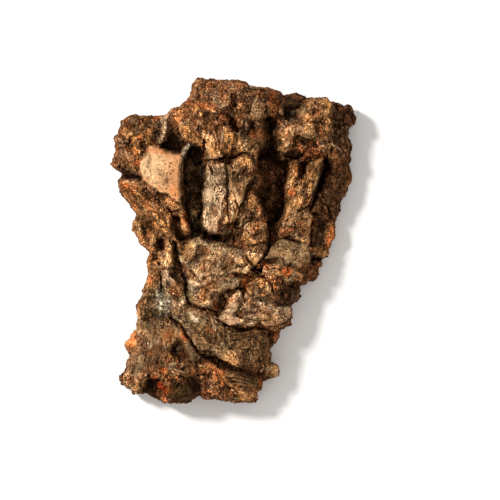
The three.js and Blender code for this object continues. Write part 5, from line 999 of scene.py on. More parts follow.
# loose crust fills the space between the plates, except in the gaps
gap = np.zeros(U.shape, np.float32)
for poly, depth in GAPS:
    w = near(U, V, poly, 6)
    gap[w] = np.maximum(gap[w], depth * ease(poly_sd(UU[w], VV[w], poly), -2.0, 2.5))
for path, half, depth in GROOVES:
    w = near(U, V, path, 8)
    gap[w] = np.maximum(gap[w], depth * (1 - ease(line_d(UU[w], VV[w], path), half * 0.7, half * 1.7)))
fill = blur(np.maximum(REL, 0), 4.0 * S) - 0.2 + layers(2.2 * fbm(U, V, 9, 2, 71, 0.5, 60, 1.6), 1.5) + 0.9 * fbm(U, V, 4, 3, 75, 0.65, ridge=True) + 0.5 * fbm(U, V, 1.9, 2, 77, 0.7)
fill = fill - gap
WHO = np.where((fill > REL) & (gap < 4), -2, WHO)
REL = np.maximum(REL, fill)
REL -= 0.45 * gap
for path, half, depth in CRACKS:
    w = near(U, V, path, 8)
    d = line_d(U[w] + 0.55 * warp_u[w], V[w] + 0.55 * warp_v[w], path)
    REL[w] -= depth * (1 - ease(d, half * 0.55, half * 1.9))
for poly, depth, soft in HOLLOWS:
    w = near(U, V, poly, 8)
    REL[w] -= depth * ease(poly_sd(UU[w], VV[w], poly), -soft, soft * 0.6)
for x, y in PORES:
    w = near(U, V, [(x, y)], 4)
    REL[w] -= 1.8 * (1 - ease(np.hypot(U[w] - x, V[w] - y), 0.3, 1.1))

# the grooves are cut in, and how deep each cut goes is kept for painted shade in the grooves
comb_groove_shade = np.zeros(U.shape, np.float32)
for poly, angle, pitch, depth in COMBS:
    w = near(U, V, poly, 4)
    a = math.radians(angle)
    t = (-UU[w] * math.sin(a) + VV[w] * math.cos(a)) / pitch + 0.9 * noise2(U[w], V[w], 6.0, 950, angle, 3.0)
    cutin = np.abs(2 * (t - np.floor(t)) - 1) ** 2 * (0.5 + 0.5 * noise2(U[w], V[w], 5.0, 960, angle, 2.0))
    cutin = cutin * ease(poly_sd(UU[w], VV[w], poly), -1.0, 1.5)
    REL[w] -= depth * cutin
    comb_groove_shade[w] = np.maximum(comb_groove_shade[w], cutin * min(1.0, depth / 1.5))
rim_highlight = np.zeros(U.shape, np.float32)
for path, half, lift in RIMS:
    w = near(U, V, path, 4)
    k = 1 - ease(line_d(U[w] + 0.4 * warp_u[w], V[w] + 0.4 * warp_v[w], path), half * 0.4, half * 1.9)
    k = k * ease(noise2(U[w], V[w], 3.0, 970), -0.9, 0.0)
    REL[w] += lift * k
    rim_highlight[w] = np.maximum(rim_highlight[w], k)

H = FLOOR + REL
H = np.where(SD > 0, smin(H, 20 + 9.5 * np.sqrt(np.clip(SD, 0, 60)), 4), 16).astype(np.float32)
gy, gx = np.gradient(blur(H, 1.5))
SLOPE = (1 / np.sqrt(1 + (gx * S) ** 2 + (gy * S) ** 2)).astype(np.float32)
rough_of = np.array([1.5, 1.2] + [p[6] for p in PLATES], np.float32)
ROUGH = blur(rough_of[WHO + 2], 1.5)
SMOOTH = blur(np.isin(WHO, [i for i, p in enumerate(PLATES) if p[8] == 'T']).astype(np.float32), 1.5)
ANGLE = np.array([80.0, 80.0] + [999.0 if p[7] is None else float(p[7]) for p in PLATES], np.float32)[WHO + 2]


def sample(field, u, v):
    """a map at survey places, bilinear"""
    x = np.clip((u - U0) * S, 0, field.shape[1] - 1.001)
    y = np.clip((v - V0) * S, 0, field.shape[0] - 1.001)
    i = x.astype(np.int32)
    j = y.astype(np.int32)
    fx = (x - i).astype(np.float32)
    fy = (y - j).astype(np.float32)
    a = field[j, i] * (1 - fx) + field[j, i + 1] * fx
    b = field[j + 1, i] * (1 - fx) + field[j + 1, i + 1] * fx
    return a * (1 - fy) + b * fy


tick('layout')
# ---------------------------------------------------------------- the solid field
VOX = 0.92
gu = np.arange(U0 + 1, U1 - 2, VOX, dtype=np.float32)
gv = np.arange(V0 + 1, V1 - 2, VOX, dtype=np.float32)
gz = np.arange(-2.0, 88.0, VOX, dtype=np.float32)
SHAPE = (len(gu), len(gv), len(gz))


def solid_noise(cells, seed):
    """smooth noise over the whole box, range about -1 to 1"""
    out = None
    mats = []
    for g, cell in zip((gu, gv, gz), cells):
        x = (g - g[0]) / cell
        i = np.floor(x).astype(int)
        m = np.zeros((len(g), i.max() + 4), np.float32)
        for k, wgt in enumerate(spline(x - i)):
            m[np.arange(len(g)), i + k] = wgt
        mats.append(m)
    grid = lattice(seed, tuple(m.shape[1] for m in mats))
    out = np.tensordot(grid, mats[2].T, (2, 0))
    out = np.tensordot(out, mats[1].T, (1, 0)).transpose(0, 2, 1)
    out = np.tensordot(mats[0], out, (1, 0))
    return (out * 2.6).astype(np.float32)


Z = gz[None, None, :]
PU = gu[:, None, None] + 0.6 * solid_noise((5.5, 5.5, 5.5), 1) + 0.3 * solid_noise((2.6, 2.6, 2.6), 2)
PV = gv[None, :, None] + 0.6 * solid_noise((5.5, 5.5, 5.5), 3) + 0.3 * solid_noise((2.6, 2.6, 2.6), 4)
crumble = 0.5 * solid_noise((4.0, 4.0, 4.0), 5) + 0.4 * solid_noise((2.3, 2.3, 2.3), 6)
strata = 0.55 * solid_noise((12.0, 12.0, 2.4), 7)
rough3 = sample(ROUGH, PU, PV)
D = (sample(H, PU, PV) - Z) * sample(SLOPE, PU, PV)
D += (0.38 * crumble + 0.5 * strata) * rough3 ** 1.5
wall = sample(SD, PU, PV)
belly = 13.0
wall -= 5.0 * np.clip((belly - Z) / belly, 0, 1) ** 2
wall += 0.9 * crumble + 1.4 * strata
del PU, PV, rough3
D = smin(D, wall, 2.5)
del wall
uu, vv = np.meshgrid(gu, gv, indexing='ij')
al = (vv - 392.0) / (80.0 - 392.0)
ac = (uu - (197 + 40 * al)) / (72 + 58 * np.clip(al, 0, 1.1))
hollow = 5.0 * np.sqrt(np.clip(1 - (ac / 0.62) ** 2, 0, 1)) + 0.9 * np.abs(fbm(uu, vv, 6, 3, 77, 0.6, 96, 4.0)) * ease(np.abs(ac), 1.1, 0.5)
D = np.minimum(D, Z - np.maximum(hollow, 0.0)[:, :, None] + 0.25 * np.clip(crumble, -1, 0))
D[0], D[-1], D[:, 0], D[:, -1], D[:, :, 0], D[:, :, -1] = -1, -1, -1, -1, -1, -1


tick('field')


def surface_nets(D):
    """one vertex in each cell that the surface crosses, one quad over each edge that it crosses"""
    pos = D > 0
    c = [pos[a:a + SHAPE[0] - 1, b:b + SHAPE[1] - 1, k:k + SHAPE[2] - 1] for a in (0, 1) for b in (0, 1) for k in (0, 1)]
    count = sum(x.astype(np.int8) for x in c)
    cells = np.argwhere((count > 0) & (count < 8))
    number = np.full(tuple(s - 1 for s in SHAPE), -1, np.int32)
    number[tuple(cells.T)] = np.arange(len(cells))
    i, j, k = cells.T
    corner = {(a, b, q): D[i + a, j + b, k + q] for a in (0, 1) for b in (0, 1) for q in (0, 1)}
    total = np.zeros((len(cells), 3), np.float32)
    hits = np.zeros(len(cells), np.float32)
    for axis in range(3):
        for s in (0, 1):
            for t in (0, 1):
                lo = [s, t]
                lo.insert(axis, 0)
                hi = list(lo)
                hi[axis] = 1
                a, b = corner[tuple(lo)], corner[tuple(hi)]
                cross = (a > 0) != (b > 0)
                f = np.where(cross, a / np.where(cross, a - b, 1), 0)
                p = np.array(lo, np.float32)[None, :].repeat(len(cells), 0)
                p[:, axis] = f
                total += p * cross[:, None]
                hits += cross
    verts = cells + total / hits[:, None]
    verts = verts * VOX + np.array([gu[0], gv[0], gz[0]])
    quads = []
    for axis in range(3):
        a = [slice(1, -1)] * 3
        b = [slice(1, -1)] * 3
        a[axis] = slice(0, -1)
        b[axis] = slice(1, None)
        flip = pos[tuple(a)] != pos[tuple(b)]
        at = np.argwhere(flip)
        at[:, [x for x in range(3) if x != axis]] += 1
        out = pos[tuple(at.T)]
        o1, o2 = [x for x in range(3) if x != axis]
        ring = []
        for d1, d2 in ((0, 0), (1, 0), (1, 1), (0, 1)):
            q = at.copy()
            q[:, o1] -= d1
            q[:, o2] -= d2
            ring.append(number[tuple(q.T)])
        ring = np.array(ring).T
        turn = out if axis != 1 else ~out
        ring[turn] = ring[turn][:, ::-1]
        quads.append(ring)
    return verts, np.concatenate(quads)


verts, quads = surface_nets(D)
del D, crumble, strata

tick('surface')
# keep the one body and drop loose crumbs and closed bubbles
label = np.arange(len(verts))
pairs = np.concatenate([quads[:, [0, 1]], quads[:, [1, 2]], quads[:, [2, 3]], quads[:, [3, 0]]])
while True:
    was = label.copy()
    low = np.minimum(label[pairs[:, 0]], label[pairs[:, 1]])
    np.minimum.at(label, pairs[:, 0], low)
    np.minimum.at(label, pairs[:, 1], low)
    label = label[label]
    if (label == was).all():
        break
main = np.bincount(label).argmax()
keep = label == main
quads = quads[keep[quads[:, 0]]]
renum = np.cumsum(keep) - 1
verts = verts[keep]
quads = renum[quads]


tick('one body')


def to_row(p):
    """survey places to metres in the row frame, with the camera's perspective taken out"""
    s = 1 + (Z_REF - p[:, 2]) * STEP / CAM_H
    x = (VIEW_U + (p[:, 0] - VIEW_U) * s - MID_U) * STEP
    y = (MID_V - (VIEW_V + (p[:, 1] - VIEW_V) * s)) * STEP
    return np.stack([x, y, p[:, 2] * STEP], 1)


def to_survey(p):
    z = p[:, 2] / STEP
    s = 1 + (Z_REF - z) * STEP / CAM_H
    u = (p[:, 0] / STEP + MID_U - VIEW_U) / s + VIEW_U
    v = (MID_V - p[:, 1] / STEP - VIEW_V) / s + VIEW_V
    return u, v, z


def new_mesh(name, verts, faces):
    me = bpy.data.meshes.new(name)
    n = faces.shape[1]
    me.vertices.add(len(verts))
    me.vertices.foreach_set('co', verts.astype(np.float32).ravel())
    me.loops.add(faces.size)
    me.loops.foreach_set('vertex_index', faces.astype(np.int32).ravel())
    me.polygons.add(len(faces))
    me.polygons.foreach_set('loop_start', np.arange(0, faces.size, n, dtype=np.int32))
    me.update(calc_edges=True)
    me.validate()
    return me


# ---------------------------------------------------------------- granules, fibres and pits on the surface itself
def hash3(i, j, k, seed):
    with np.errstate(over='ignore'):
        h = i.astype(np.uint32) * np.uint32(374761393) + j.astype(np.uint32) * np.uint32(668265263) + k.astype(np.uint32) * np.uint32(2246822519) + np.uint32(seed * 3266489917 & 0xffffffff)
        h ^= h >> np.uint32(15)
        h *= np.uint32(2246822519)
        h ^= h >> np.uint32(13)
        h *= np.uint32(3266489917)
        h ^= h >> np.uint32(16)
    return h


def noise3(p, cell, seed):
    q = p / cell
    i = np.floor(q).astype(np.int64)
    f = q - i
    f = f * f * f * (f * (f * 6 - 15) + 10)
    out = 0
    for a in (0, 1):
        for b in (0, 1):
            for c in (0, 1):
                h = hash3(i[:, 0] + a, i[:, 1] + b, i[:, 2] + c, seed) / 2147483647.5 - 1
                w = (f[:, 0] if a else 1 - f[:, 0]) * (f[:, 1] if b else 1 - f[:, 1]) * (f[:, 2] if c else 1 - f[:, 2])
                out = out + w * h
    return out


def cells3(p, cell, seed, jitter=0.9):
    """chips: place within the nearest cell, distance to its edge, and a number from 0 to 1 for the chip"""
    q = p / cell
    i = np.floor(q).astype(np.int64)
    f = q - i
    f1 = np.full(len(p), 9.0)
    f2 = np.full(len(p), 9.0)
    who = np.zeros(len(p), np.uint32)
    at = np.zeros((len(p), 3))
    for a in (-1, 0, 1):
        for b in (-1, 0, 1):
            for c in (-1, 0, 1):
                h = hash3(i[:, 0] + a, i[:, 1] + b, i[:, 2] + c, seed)
                x = a + 0.5 + jitter * ((h & np.uint32(1023)) / 1023.0 - 0.5) - f[:, 0]
                y = b + 0.5 + jitter * (((h >> np.uint32(10)) & np.uint32(1023)) / 1023.0 - 0.5) - f[:, 1]
                z = c + 0.5 + jitter * (((h >> np.uint32(20)) & np.uint32(1023)) / 1023.0 - 0.5) - f[:, 2]
                d = x * x + y * y + z * z
                new = d < f1
                f2 = np.where(new, f1, np.minimum(f2, d))
                who = np.where(new, h, who)
                at[new, 0], at[new, 1], at[new, 2] = -x[new], -y[new], -z[new]
                f1 = np.where(new, d, f1)
    return at, np.sqrt(f2) - np.sqrt(f1), who


def part_of(who, k):
    return ((who >> np.uint32(k)) % np.uint32(997)) / 997.0


def chips(p, cell, seed, lift, tilt):
    """flat tilted facets with a small step between them: height, distance to the edge, number of the chip"""
    at, edge, who = cells3(p, cell, seed)
    r = part_of(who, 3)
    slope = np.stack([part_of(who, 7), part_of(who, 11), part_of(who, 5)], 1) * 2 - 1
    return lift * (2 * r - 1) + tilt * cell * (at * slope).sum(1), edge, r


def grain_space(p):
    """survey places turned so that x runs along the grain and is shortened by the stretch"""
    ang = ANGLE[np.clip(((p[:, 1] - V0) * S).astype(int), 0, U.shape[0] - 1), np.clip(((p[:, 0] - U0) * S).astype(int), 0, U.shape[1] - 1)]
    free = ang > 900
    a = np.radians(np.where(free, 50.0, ang))
    k = np.where(free, 1.3, 2.4)
    x = (p[:, 0] * np.cos(a) + p[:, 1] * np.sin(a)) / k
    y = -p[:, 0] * np.sin(a) + p[:, 1] * np.cos(a)
    return np.stack([x, y, p[:, 2]], 1)


def relief3(p):
    g = grain_space(p)
    g = g + 0.9 * np.stack([noise3(p, 5.0, 901), noise3(p, 5.0, 902), noise3(p, 5.0, 903)], 1)
    big, e1, r1 = chips(g, 5.2, 31, 0.45, 0.36)
    crackle = (1 - ease(e1, 0.04, 0.22)) * ease(noise3(p, 8.0, 46) + 0.4 * noise3(p, 3.0, 47), -0.35, 0.1)
    small, e2, r2 = chips(g, 2.9, 32, 0.36, 0.42)
    crackle = np.maximum(crackle, 0.8 * (1 - ease(e2, 0.04, 0.3)) * ease(noise3(p, 6.0, 48) + 0.4 * noise3(p, 3.0, 49), 0.0, 0.4))
    long = np.array([0.4, 1.0, 1.0])
    rib = ease(1 - 2.2 * np.abs(noise3(g * long, 3.4, 71)), 0.70, 0.95) * ease(noise3(p, 6.0, 72), -0.15, 0.35)
    split = ease(1 - 2.2 * np.abs(noise3(g * long, 3.8, 73)), 0.74, 0.96) * ease(noise3(p, 6.0, 74), -0.15, 0.35)
    crackle = np.maximum(crackle, 0.9 * split)
    pit = ease(noise3(g * np.array([0.7, 1.0, 1.0]), 3.4, 41) + 0.4 * noise3(p, 1.8, 42), 0.42, 0.62)
    rot = ease(noise3(p, 9.0, 43) + 0.5 * noise3(p, 4.0, 44) + 0.4 * noise3(p, 1.6, 45), 0.38, 0.56)
    return big, small, pit, r1, r2, crackle, e2, rib, rot


def surface_normals(verts, quads):
    n = np.zeros_like(verts)
    a = verts[quads[:, 2]] - verts[quads[:, 0]]
    b = verts[quads[:, 3]] - verts[quads[:, 1]]
    c = np.cross(a, b)
    for k in range(4):
        for x in range(3):
            n[:, x] += np.bincount(quads[:, k], c[:, x], len(verts))
    return n / (np.linalg.norm(n, axis=1, keepdims=True) + 1e-9)


nv = surface_normals(verts, quads)
if (nv[:, 2] * (verts[:, 2] - verts[:, 2].mean())).sum() < 0:
    nv = -nv
below = ease(-nv[:, 2], 0.3, 0.8) * ease(verts[:, 2], 14, 8)
calm = (1 - 0.93 * sample(SMOOTH, verts[:, 0], verts[:, 1]) * ease(nv[:, 2], 0.2, 0.6)) * (1 - 0.85 * below)
big, small, pit, _, _, crackle, _, rib, rot = relief3(verts)
amp = np.clip(sample(ROUGH, verts[:, 0], verts[:, 1]), 0.45, 1.6)
push = 0.66 * big + 0.45 * small - 0.4 * pit - 1.0 * crackle + 0.6 * rib + 0.3 * noise3(verts, 1.3, 55) - rot * (0.6 - 0.9 * noise3(verts, 1.7, 56))
push = amp * calm * push * (0.6 + 0.4 * ease(nv[:, 2], 0.1, 0.5))
verts = verts + nv * push[:, None]
verts[:, 2] = np.maximum(verts[:, 2], 0)

me = new_mesh('bark_surface', to_row(verts), quads)
bark = bpy.data.objects.new('bark_piece', me)
bpy.context.collection.objects.link(bark)
print('surface', len(verts), 'vertices', len(quads), 'quads')

tick('relief')
FACES = 195000
if len(quads) * 2 > FACES:
    mod = bark.modifiers.new('thin', 'DECIMATE')
    mod.ratio = FACES / (len(quads) * 2)
    mod.use_collapse_triangulate = True
    dg = bpy.context.evaluated_depsgraph_get()
    thin = bpy.data.meshes.new_from_object(bark.evaluated_get(dg))
    bark.modifiers.clear()
    bark.data = thin
    me = thin
me.name = 'bark_piece'
me.polygons.foreach_set('use_smooth', np.zeros(len(me.polygons), bool))
print('kept', len(me.vertices), 'vertices', len(me.polygons), 'faces')

tick('thinned')
# ---------------------------------------------------------------- finish: maps of tone and wear, with painted light and shade
co = np.empty(len(me.vertices) * 3, np.float32)
me.vertices.foreach_get('co', co)
co = co.reshape(-1, 3)
no = np.empty(len(me.vertices) * 3, np.float32)
me.vertices.foreach_get('normal', no)
no = no.reshape(-1, 3)
pu, pv, pz = to_survey(co)

# height of the finished crust, from the mesh itself
TOP = np.zeros(U.shape, np.float32)
ji = np.clip(((pv - V0) * S).round().astype(int), 0, U.shape[0] - 1), np.clip(((pu - U0) * S).round().astype(int), 0, U.shape[1] - 1)
np.maximum.at(TOP, ji, pz.astype(np.float32))
for _ in range(3):   # fill the gaps between vertices
    grown = TOP
    for dj in (-1, 0, 1):
        for di in (-1, 0, 1):
            grown = np.maximum(grown, np.roll(np.roll(TOP, dj, 0), di, 1) * 0.999)
    TOP = np.where(TOP > 0, TOP, grown)


def lin(c):
    c = np.array(c, float) / 255
    return np.where(c <= 0.04045, c / 12.92, ((c + 0.055) / 1.055) ** 2.4)


tones = np.array([lin(TONE['b']), lin(TONE['k'])] + [lin(TONE[p[8]]) for p in PLATES])
base = tones[WHO + 2].astype(np.float32)
base = np.stack([blur(base[..., c], 1.3) for c in range(3)], -1)
wob_u = pu + 1.5 * fbm(pu, pv, 4, 2, 600)
wob_v = pv + 1.5 * fbm(pu, pv, 4, 2, 610)
col = np.stack([sample(base[..., c], wob_u, wob_v) for c in range(3)], 1)

fine = (sample(TOP, pu, pv) - sample(blur(TOP, 2.0), pu, pv))
mid = (pz - sample(blur(TOP, 6.0), pu, pv))
wide = (pz - sample(blur(TOP, 16.0), pu, pv))
crest_light = np.clip(fine / 1.6, -1, 1)

def mix(a, b, t):
    t = np.clip(t, 0, 1)[:, None]
    return a * (1 - t) + b * t


def soft_mask(u, v, poly, soft):
    return ease(poly_sd(u, v, poly), -soft, soft)


# patches of other colours, several steps wide, then chips, painted shade in cracks and pits, and dark rotten spots
flake_of = cells2(U + warp_u, V + warp_v, 9, 92)
flake = flake_of[3][np.clip(((pv - V0) * S).astype(int), 0, U.shape[0] - 1), np.clip(((pu - U0) * S).astype(int), 0, U.shape[1] - 1)]
n1 = fbm(pu, pv + 0.6 * pz, 12, 3, 700, 0.6)
n2 = fbm(pu, pv + 0.6 * pz, 6, 3, 720, 0.7)
n3 = fbm(pu + 0.5 * pz, pv, 3.0, 2, 740, 0.7)
n4 = fbm(pu + 0.3 * pz, pv, 8, 3, 780, 0.6)
fresh = sample(SMOOTH, pu, pv)
quiet = fresh.copy()
for poly, amount, soft in QUIET:
    quiet = np.maximum(quiet, amount * soft_mask(pu, pv, poly, soft))
loose = 1 - 0.9 * quiet
place = np.stack([pu, pv, pz], 1)
big, small, pit, r1, r2, crackle, e2, rib, rot = relief3(place)
crumbly = ease(sample(ROUGH, pu, pv), 0.5, 1.2)
orange_of = lin((190, 100, 50)) / lin((150, 106, 70))
grey_of = lin((134, 108, 82)) / lin((150, 106, 70))
col = mix(col, lin((168, 104, 58)), loose * 0.35 * ease(n1 + 0.4 * n2, 0.25, 0.8))
col = mix(col, lin((176, 130, 78)), loose * 0.3 * ease(n4 + 0.3 * n3, 0.2, 0.8))
col = mix(col, lin((136, 114, 86)), loose * 0.45 * ease(-n1 + 0.4 * n3, 0.25, 0.9) * ease(mid, -2, 3))
col = mix(col, lin((92, 60, 36)), loose * 0.4 * ease(-n4 + 0.4 * n2, 0.3, 0.8))
col *= (1 + loose * ((0.2 + 0.4 * crumbly) * (r1 - 0.5) + 0.25 * (r2 - 0.5) + 0.25 * (flake - 0.5)))[:, None]
hue = (r1 * 7.0) % 1.0
col = col * (1 + (loose * (0.04 + 0.22 * crumbly) * ease(hue, 0.72, 0.8))[:, None] * (orange_of - 1))
col = col * (1 + (loose * 0.3 * ease(hue, 0.3, 0.22))[:, None] * (grey_of - 1))
pale = lin((208, 176, 138)) * np.clip(col.mean(1, keepdims=True) / 0.16, 0.45, 1.15)
col = mix(col, pale, loose * 0.6 * rib)
# painted shade: the cracks between chips are painted nearly black, the rest made a little lighter
col = mix(col, lin((46, 26, 12)), loose * (0.45 + 0.35 * crumbly) * crackle)
col *= (1 + loose * 0.10 * (1 - crackle))[:, None]
# painted shade: darker in the bottoms of the parallel grooves
col *= (1 - 0.45 * sample(comb_groove_shade, pu, pv) * loose)[:, None]
# painted shade: the pits turn darker and warmer
pit_shade_tint = lin((150, 90, 54)) / lin((150, 106, 70))
col = col * (1 + (loose * 0.5 * pit)[:, None] * (pit_shade_tint - 1))
col *= (1 - loose * 0.5 * pit)[:, None]
col = mix(col, lin((58, 36, 20)), loose * 0.5 * rot)
# painted highlight: small raised grains painted lighter, small dips darker
col *= (1 + loose * 0.46 * crest_light)[:, None]
# painted highlight: the raised rims are painted pale where they face up
col = mix(col, lin((214, 180, 136)), 0.8 * sample(rim_highlight, pu, pv) * ease(no[:, 2], -0.1, 0.3))
su = pu + 2.2 * fbm(pu, pv, 6, 3, 760, 0.75)
sv = pv + 2.2 * fbm(pu, pv, 6, 3, 770, 0.75)
# painted shade: the gaps, fissures and hollows are painted olive-dark and black-brown; some entries paint tone
for poly, paint, strength, soft in SHADE_AND_TONE_PATCHES:
    col = mix(col, lin(paint) * np.clip(col.mean(1, keepdims=True) / 0.10, 0.4, 1.8), strength * soft_mask(su, sv, poly, soft))
# painted light and shade: each field scales the colour up or down
for poly, factor, soft in LIGHT_AND_SHADE_FIELDS:
    col *= (1 + (factor - 1) * soft_mask(su, sv, poly, soft))[:, None]
# painted shade: below the local mean height the colour turns darker and warmer
recess_shade = ease(mid, 0, -7)
col *= (1 - recess_shade[:, None] * np.array([0.43, 0.67, 0.86]))
cut = mix(np.tile(lin((197, 161, 120)), (len(pu), 1)), lin((174, 120, 76)), ease(pu + 0.3 * (pv - 170), 144, 184))
cut = cut * (1 + 0.24 * fbm(pu, pv, 1.8, 2, 750, 0.7, 45, 3.5) + 0.14 * n2)[:, None]
wells = np.full(len(pu), 9.0)
for x, y in PORES:
    wells = np.minimum(wells, np.hypot(pu - x, pv - y))
# painted shade: the pores, pressed in as pits, are painted nearly black
cut = cut * (1 - 0.92 * (1 - ease(wells, 0.45, 1.2)))[:, None]
# its lower edge runs out into the fibrous bark
run_out = ((pu - 141) * 27 - (pv - 178) * 31) / 41 + 3.0 * n3
cut = mix(cut, lin((164, 100, 56)), 0.75 * (1 - ease(run_out, 0, 7)))
col = mix(col, cut, fresh * ease(no[:, 2], 0.42, 0.72) * ease(pz, 18, 24))
PAINT = {'orange': (184, 98, 48), 'red': (170, 64, 32), 'crack': (76, 48, 28), 'gold': (190, 134, 74), 'lichen': (200, 188, 162), 'pale': (196, 172, 134), 'ash': (150, 136, 112), 'rustbrown': (142, 84, 48)}
for x, y, a, b, turn, paint, strength in SPOTS:
    t = math.radians(turn)
    dx = (su - x) * math.cos(t) + (sv - y) * math.sin(t)
    dy = -(su - x) * math.sin(t) + (sv - y) * math.cos(t)
    m = ease(np.sqrt((dx / a) ** 2 + (dy / b) ** 2), 1.15, 0.65) * strength * ease(no[:, 2], 0.05, 0.35)
    shade = np.clip(col.mean(1, keepdims=True) / 0.13, 0.35, 1.6)
    col = mix(col, lin(PAINT[paint]) * shade ** 0.7, m)
# the inner face and the broken edge
side = ease(no[:, 2], 0.35, -0.1) * ease(sample(SD, pu, pv), 9, 2)
layer = fbm(pz * 1.0, pu * 0.08 + pv * 0.08, 2.2, 2, 800)
col = mix(col, lin((128, 82, 50)) * (1 + 0.45 * layer + 0.25 * n3)[:, None], 0.8 * side)
under = ease(-no[:, 2], 0.5, 0.85) * ease(pz, 12, 8)
fibre = fbm(pu, pv, 2.2, 3, 820, 0.6, 96, 7.0)
col = mix(col, lin((136, 94, 60)) * (1 + 0.30 * fibre + 0.18 * n1)[:, None], under)
col = np.clip(col, 0.004, 0.9)

rgba = np.ones((len(pu), 4), np.float32)
rgba[:, :3] = col
# the vertex colour holds the tone together with the painted light and shade above
att = me.color_attributes.new('tone', 'FLOAT_COLOR', 'POINT')
att.data.foreach_set('color', rgba.ravel())
wear = me.attributes.new('fresh', 'FLOAT', 'POINT')
wear.data.foreach_set('value', quiet.astype(np.float32))
lie = me.attributes.new('grain', 'FLOAT_VECTOR', 'POINT')
lie.data.foreach_set('vector', grain_space(place).astype(np.float32).ravel())

tick('tones')
# ---------------------------------------------------------------- material
mat = bpy.data.materials.new('corky_bark')
mat.use_nodes = True
nt = mat.node_tree
nt.nodes.clear()


def node(kind, **values):
    n = nt.nodes.new(kind)
    for k, v in values.items():
        if k in n.inputs:
            n.inputs[k].default_value = v
        else:
            setattr(n, k, v)
    return n


def link(a, out, b, to):
    nt.links.new(a.outputs[out], b.inputs[to])


out = node('ShaderNodeOutputMaterial')
bsdf = node('ShaderNodeBsdfPrincipled')
bsdf.inputs['Roughness'].default_value = 0.88
bsdf.inputs['Specular IOR Level'].default_value = 0.03
link(bsdf, 'BSDF', out, 'Surface')
tc = node('ShaderNodeTexCoord')
tone = node('ShaderNodeAttribute', attribute_name='tone')
fr = node('ShaderNodeAttribute', attribute_name='fresh')

grain = node('ShaderNodeAttribute', attribute_name='grain')


def ranged(src, out, a, b, c, d):
    m = node('ShaderNodeMapRange')
    for k, v in (('From Min', a), ('From Max', b), ('To Min', c), ('To Max', d)):
        m.inputs[k].default_value = v
    link(src, out, m, 'Value')
    return m


def maths(op, a, b):
    m = node('ShaderNodeMath', operation=op)
    for k, x in enumerate((a, b)):
        if isinstance(x, tuple):
            nt.links.new(x[0].outputs[x[1]], m.inputs[k])
        else:
            m.inputs[k].default_value = x
    return m


# short cracks and pores along the grain, pressed in by the bump and painted dark as their shade, fine streaks and grit
def drawn(scale, by, detail, rough):
    n = node('ShaderNodeTexNoise', Scale=scale, Detail=detail, Roughness=rough)
    m = node('ShaderNodeMapping')
    m.inputs['Scale'].default_value = by
    link(grain, 'Vector', m, 'Vector')
    link(m, 'Vector', n, 'Vector')
    return n


slits = drawn(0.62, (0.7, 1.0, 1.0), 2.0, 0.72)
open_slit = ranged(slits, 'Fac', 0.35, 0.41, 1.0, 0.0)
fibre = drawn(0.62, (0.8, 1.1, 1.1), 1.0, 0.7)
streak = ranged(fibre, 'Fac', 0.3, 0.7, 0.4, 1.6)
grit = node('ShaderNodeTexNoise', Scale=1000.0, Detail=2.0, Roughness=0.7)
link(tc, 'Object', grit, 'Vector')
speck = ranged(grit, 'Fac', 0.35, 0.65, 0.1, 1.9)
value = maths('MULTIPLY', (streak, 'Result'), (speck, 'Result'))
dots = node('ShaderNodeTexVoronoi', Scale=0.42)
link(grain, 'Vector', dots, 'Vector')
dot = ranged(dots, 'Distance', 0.16, 0.36, 0.22, 1.07)
value = maths('MULTIPLY', (value, 'Value'), (dot, 'Result'))
# the fresh cut block is nearly even
lively = ranged(fr, 'Fac', 0.0, 1.0, 1.0, 0.26)
calmer = node('ShaderNodeTexNoise', Scale=0.09, Detail=1.0)
link(grain, 'Vector', calmer, 'Vector')
calm_by = ranged(calmer, 'Fac', 0.38, 0.62, 0.35, 1.35)
value = maths('SUBTRACT', (value, 'Value'), 1.0)
value = maths('MULTIPLY', (value, 'Value'), (calm_by, 'Result'))
value = maths('MULTIPLY', (value, 'Value'), (lively, 'Result'))
value = maths('ADD', (value, 'Value'), 1.0)
# painted shade: the open slits are painted dark brown
dim = maths('MULTIPLY', (open_slit, 'Result'), (lively, 'Result'))
mul = node('ShaderNodeVectorMath', operation='SCALE')
link(tone, 'Color', mul, 0)
link(value, 'Value', mul, 'Scale')
slit_shade = node('ShaderNodeVectorMath', operation='MULTIPLY')
link(mul, 'Vector', slit_shade, 0)
slit_shade.inputs[1].default_value = (0.34, 0.17, 0.08)
paint = node('ShaderNodeMix', data_type='VECTOR')
link(dim, 'Value', paint, 'Factor')
link(mul, 'Vector', paint, 4)
link(slit_shade, 'Vector', paint, 5)
link(paint, 1, bsdf, 'Base Color')

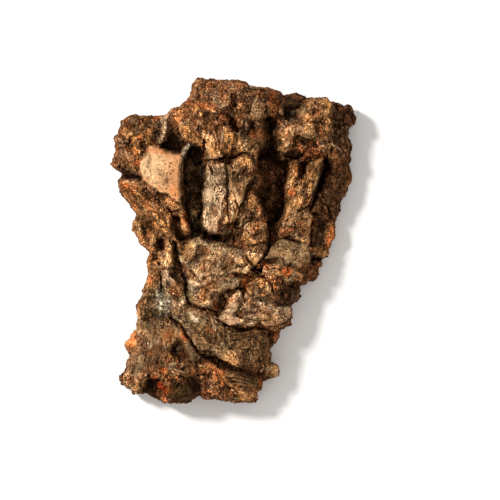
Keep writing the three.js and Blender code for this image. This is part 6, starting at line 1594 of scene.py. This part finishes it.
h1 = maths('MULTIPLY', (open_slit, 'Result'), -1.0)
h2 = maths('MULTIPLY', (fibre, 'Fac'), 1.5)
h3 = maths('MULTIPLY', (grit, 'Fac'), 0.5)
hh = maths('ADD', (h1, 'Value'), (h2, 'Value'))
hh = maths('ADD', (hh, 'Value'), (h3, 'Value'))
hh = maths('MULTIPLY', (hh, 'Value'), (lively, 'Result'))
bump1 = node('ShaderNodeBump', Strength=1.0, Distance=0.0004)
link(hh, 'Value', bump1, 'Height')
link(bump1, 'Normal', bsdf, 'Normal')
me.materials.clear()
me.materials.append(mat)

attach(bark, 'root')
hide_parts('bark')

# ---------------------------------------------------------------- floor, light and camera
bpy.ops.mesh.primitive_plane_add(size=30.0, location=(0, 0, -0.0002))
floor = bpy.context.object
floor.name = 'studio_floor'
fm = bpy.data.materials.new('studio_floor')
fm.use_nodes = True
fb = fm.node_tree.nodes['Principled BSDF']
fb.inputs['Base Color'].default_value = (0.86, 0.86, 0.86, 1)
fb.inputs['Roughness'].default_value = 0.9
floor.data.materials.append(fm)

world = bpy.data.worlds.new('studio')
bpy.context.scene.world = world
world.use_nodes = True
world.node_tree.nodes['Background'].inputs['Color'].default_value = (1, 0.965, 0.925, 1)
world.node_tree.nodes['Background'].inputs['Strength'].default_value = 0.66


def area(name, at, to, size, watts, colour=(1, 1, 1)):
    data = bpy.data.lights.new(name, 'AREA')
    data.shape = 'DISK'
    data.size = size
    data.energy = watts
    data.color = colour
    o = bpy.data.objects.new(name, data)
    bpy.context.collection.objects.link(o)
    o.location = at
    d = np.array(to, float) - np.array(at, float)
    o.rotation_euler = Vector(d).to_track_quat('-Z', 'Y').to_euler()
    return o


area('key', (-1.15, 0.72, 1.35), (0, 0, 0.03), 0.35, 43.0, (1.0, 0.975, 0.95))
area('fill', (1.2, -1.3, 0.9), (0, 0, 0.03), 1.2, 5.0, (1.0, 1.0, 1.0))

cam = bpy.data.cameras.new('camera')
cam.lens = LENS
cam.sensor_width = 36.0
cam.clip_end = 50.0
cam_o = bpy.data.objects.new('camera', cam)
bpy.context.collection.objects.link(cam_o)
cam_o.location = ((VIEW_U - MID_U) * STEP, (MID_V - VIEW_V) * STEP, CAM_H + Z_REF * STEP)
cam_o.rotation_euler = (0, 0, 0)
bpy.context.scene.camera = cam_o
view = bpy.context.scene.view_settings
view.view_transform = 'Standard'
view.look = 'None'
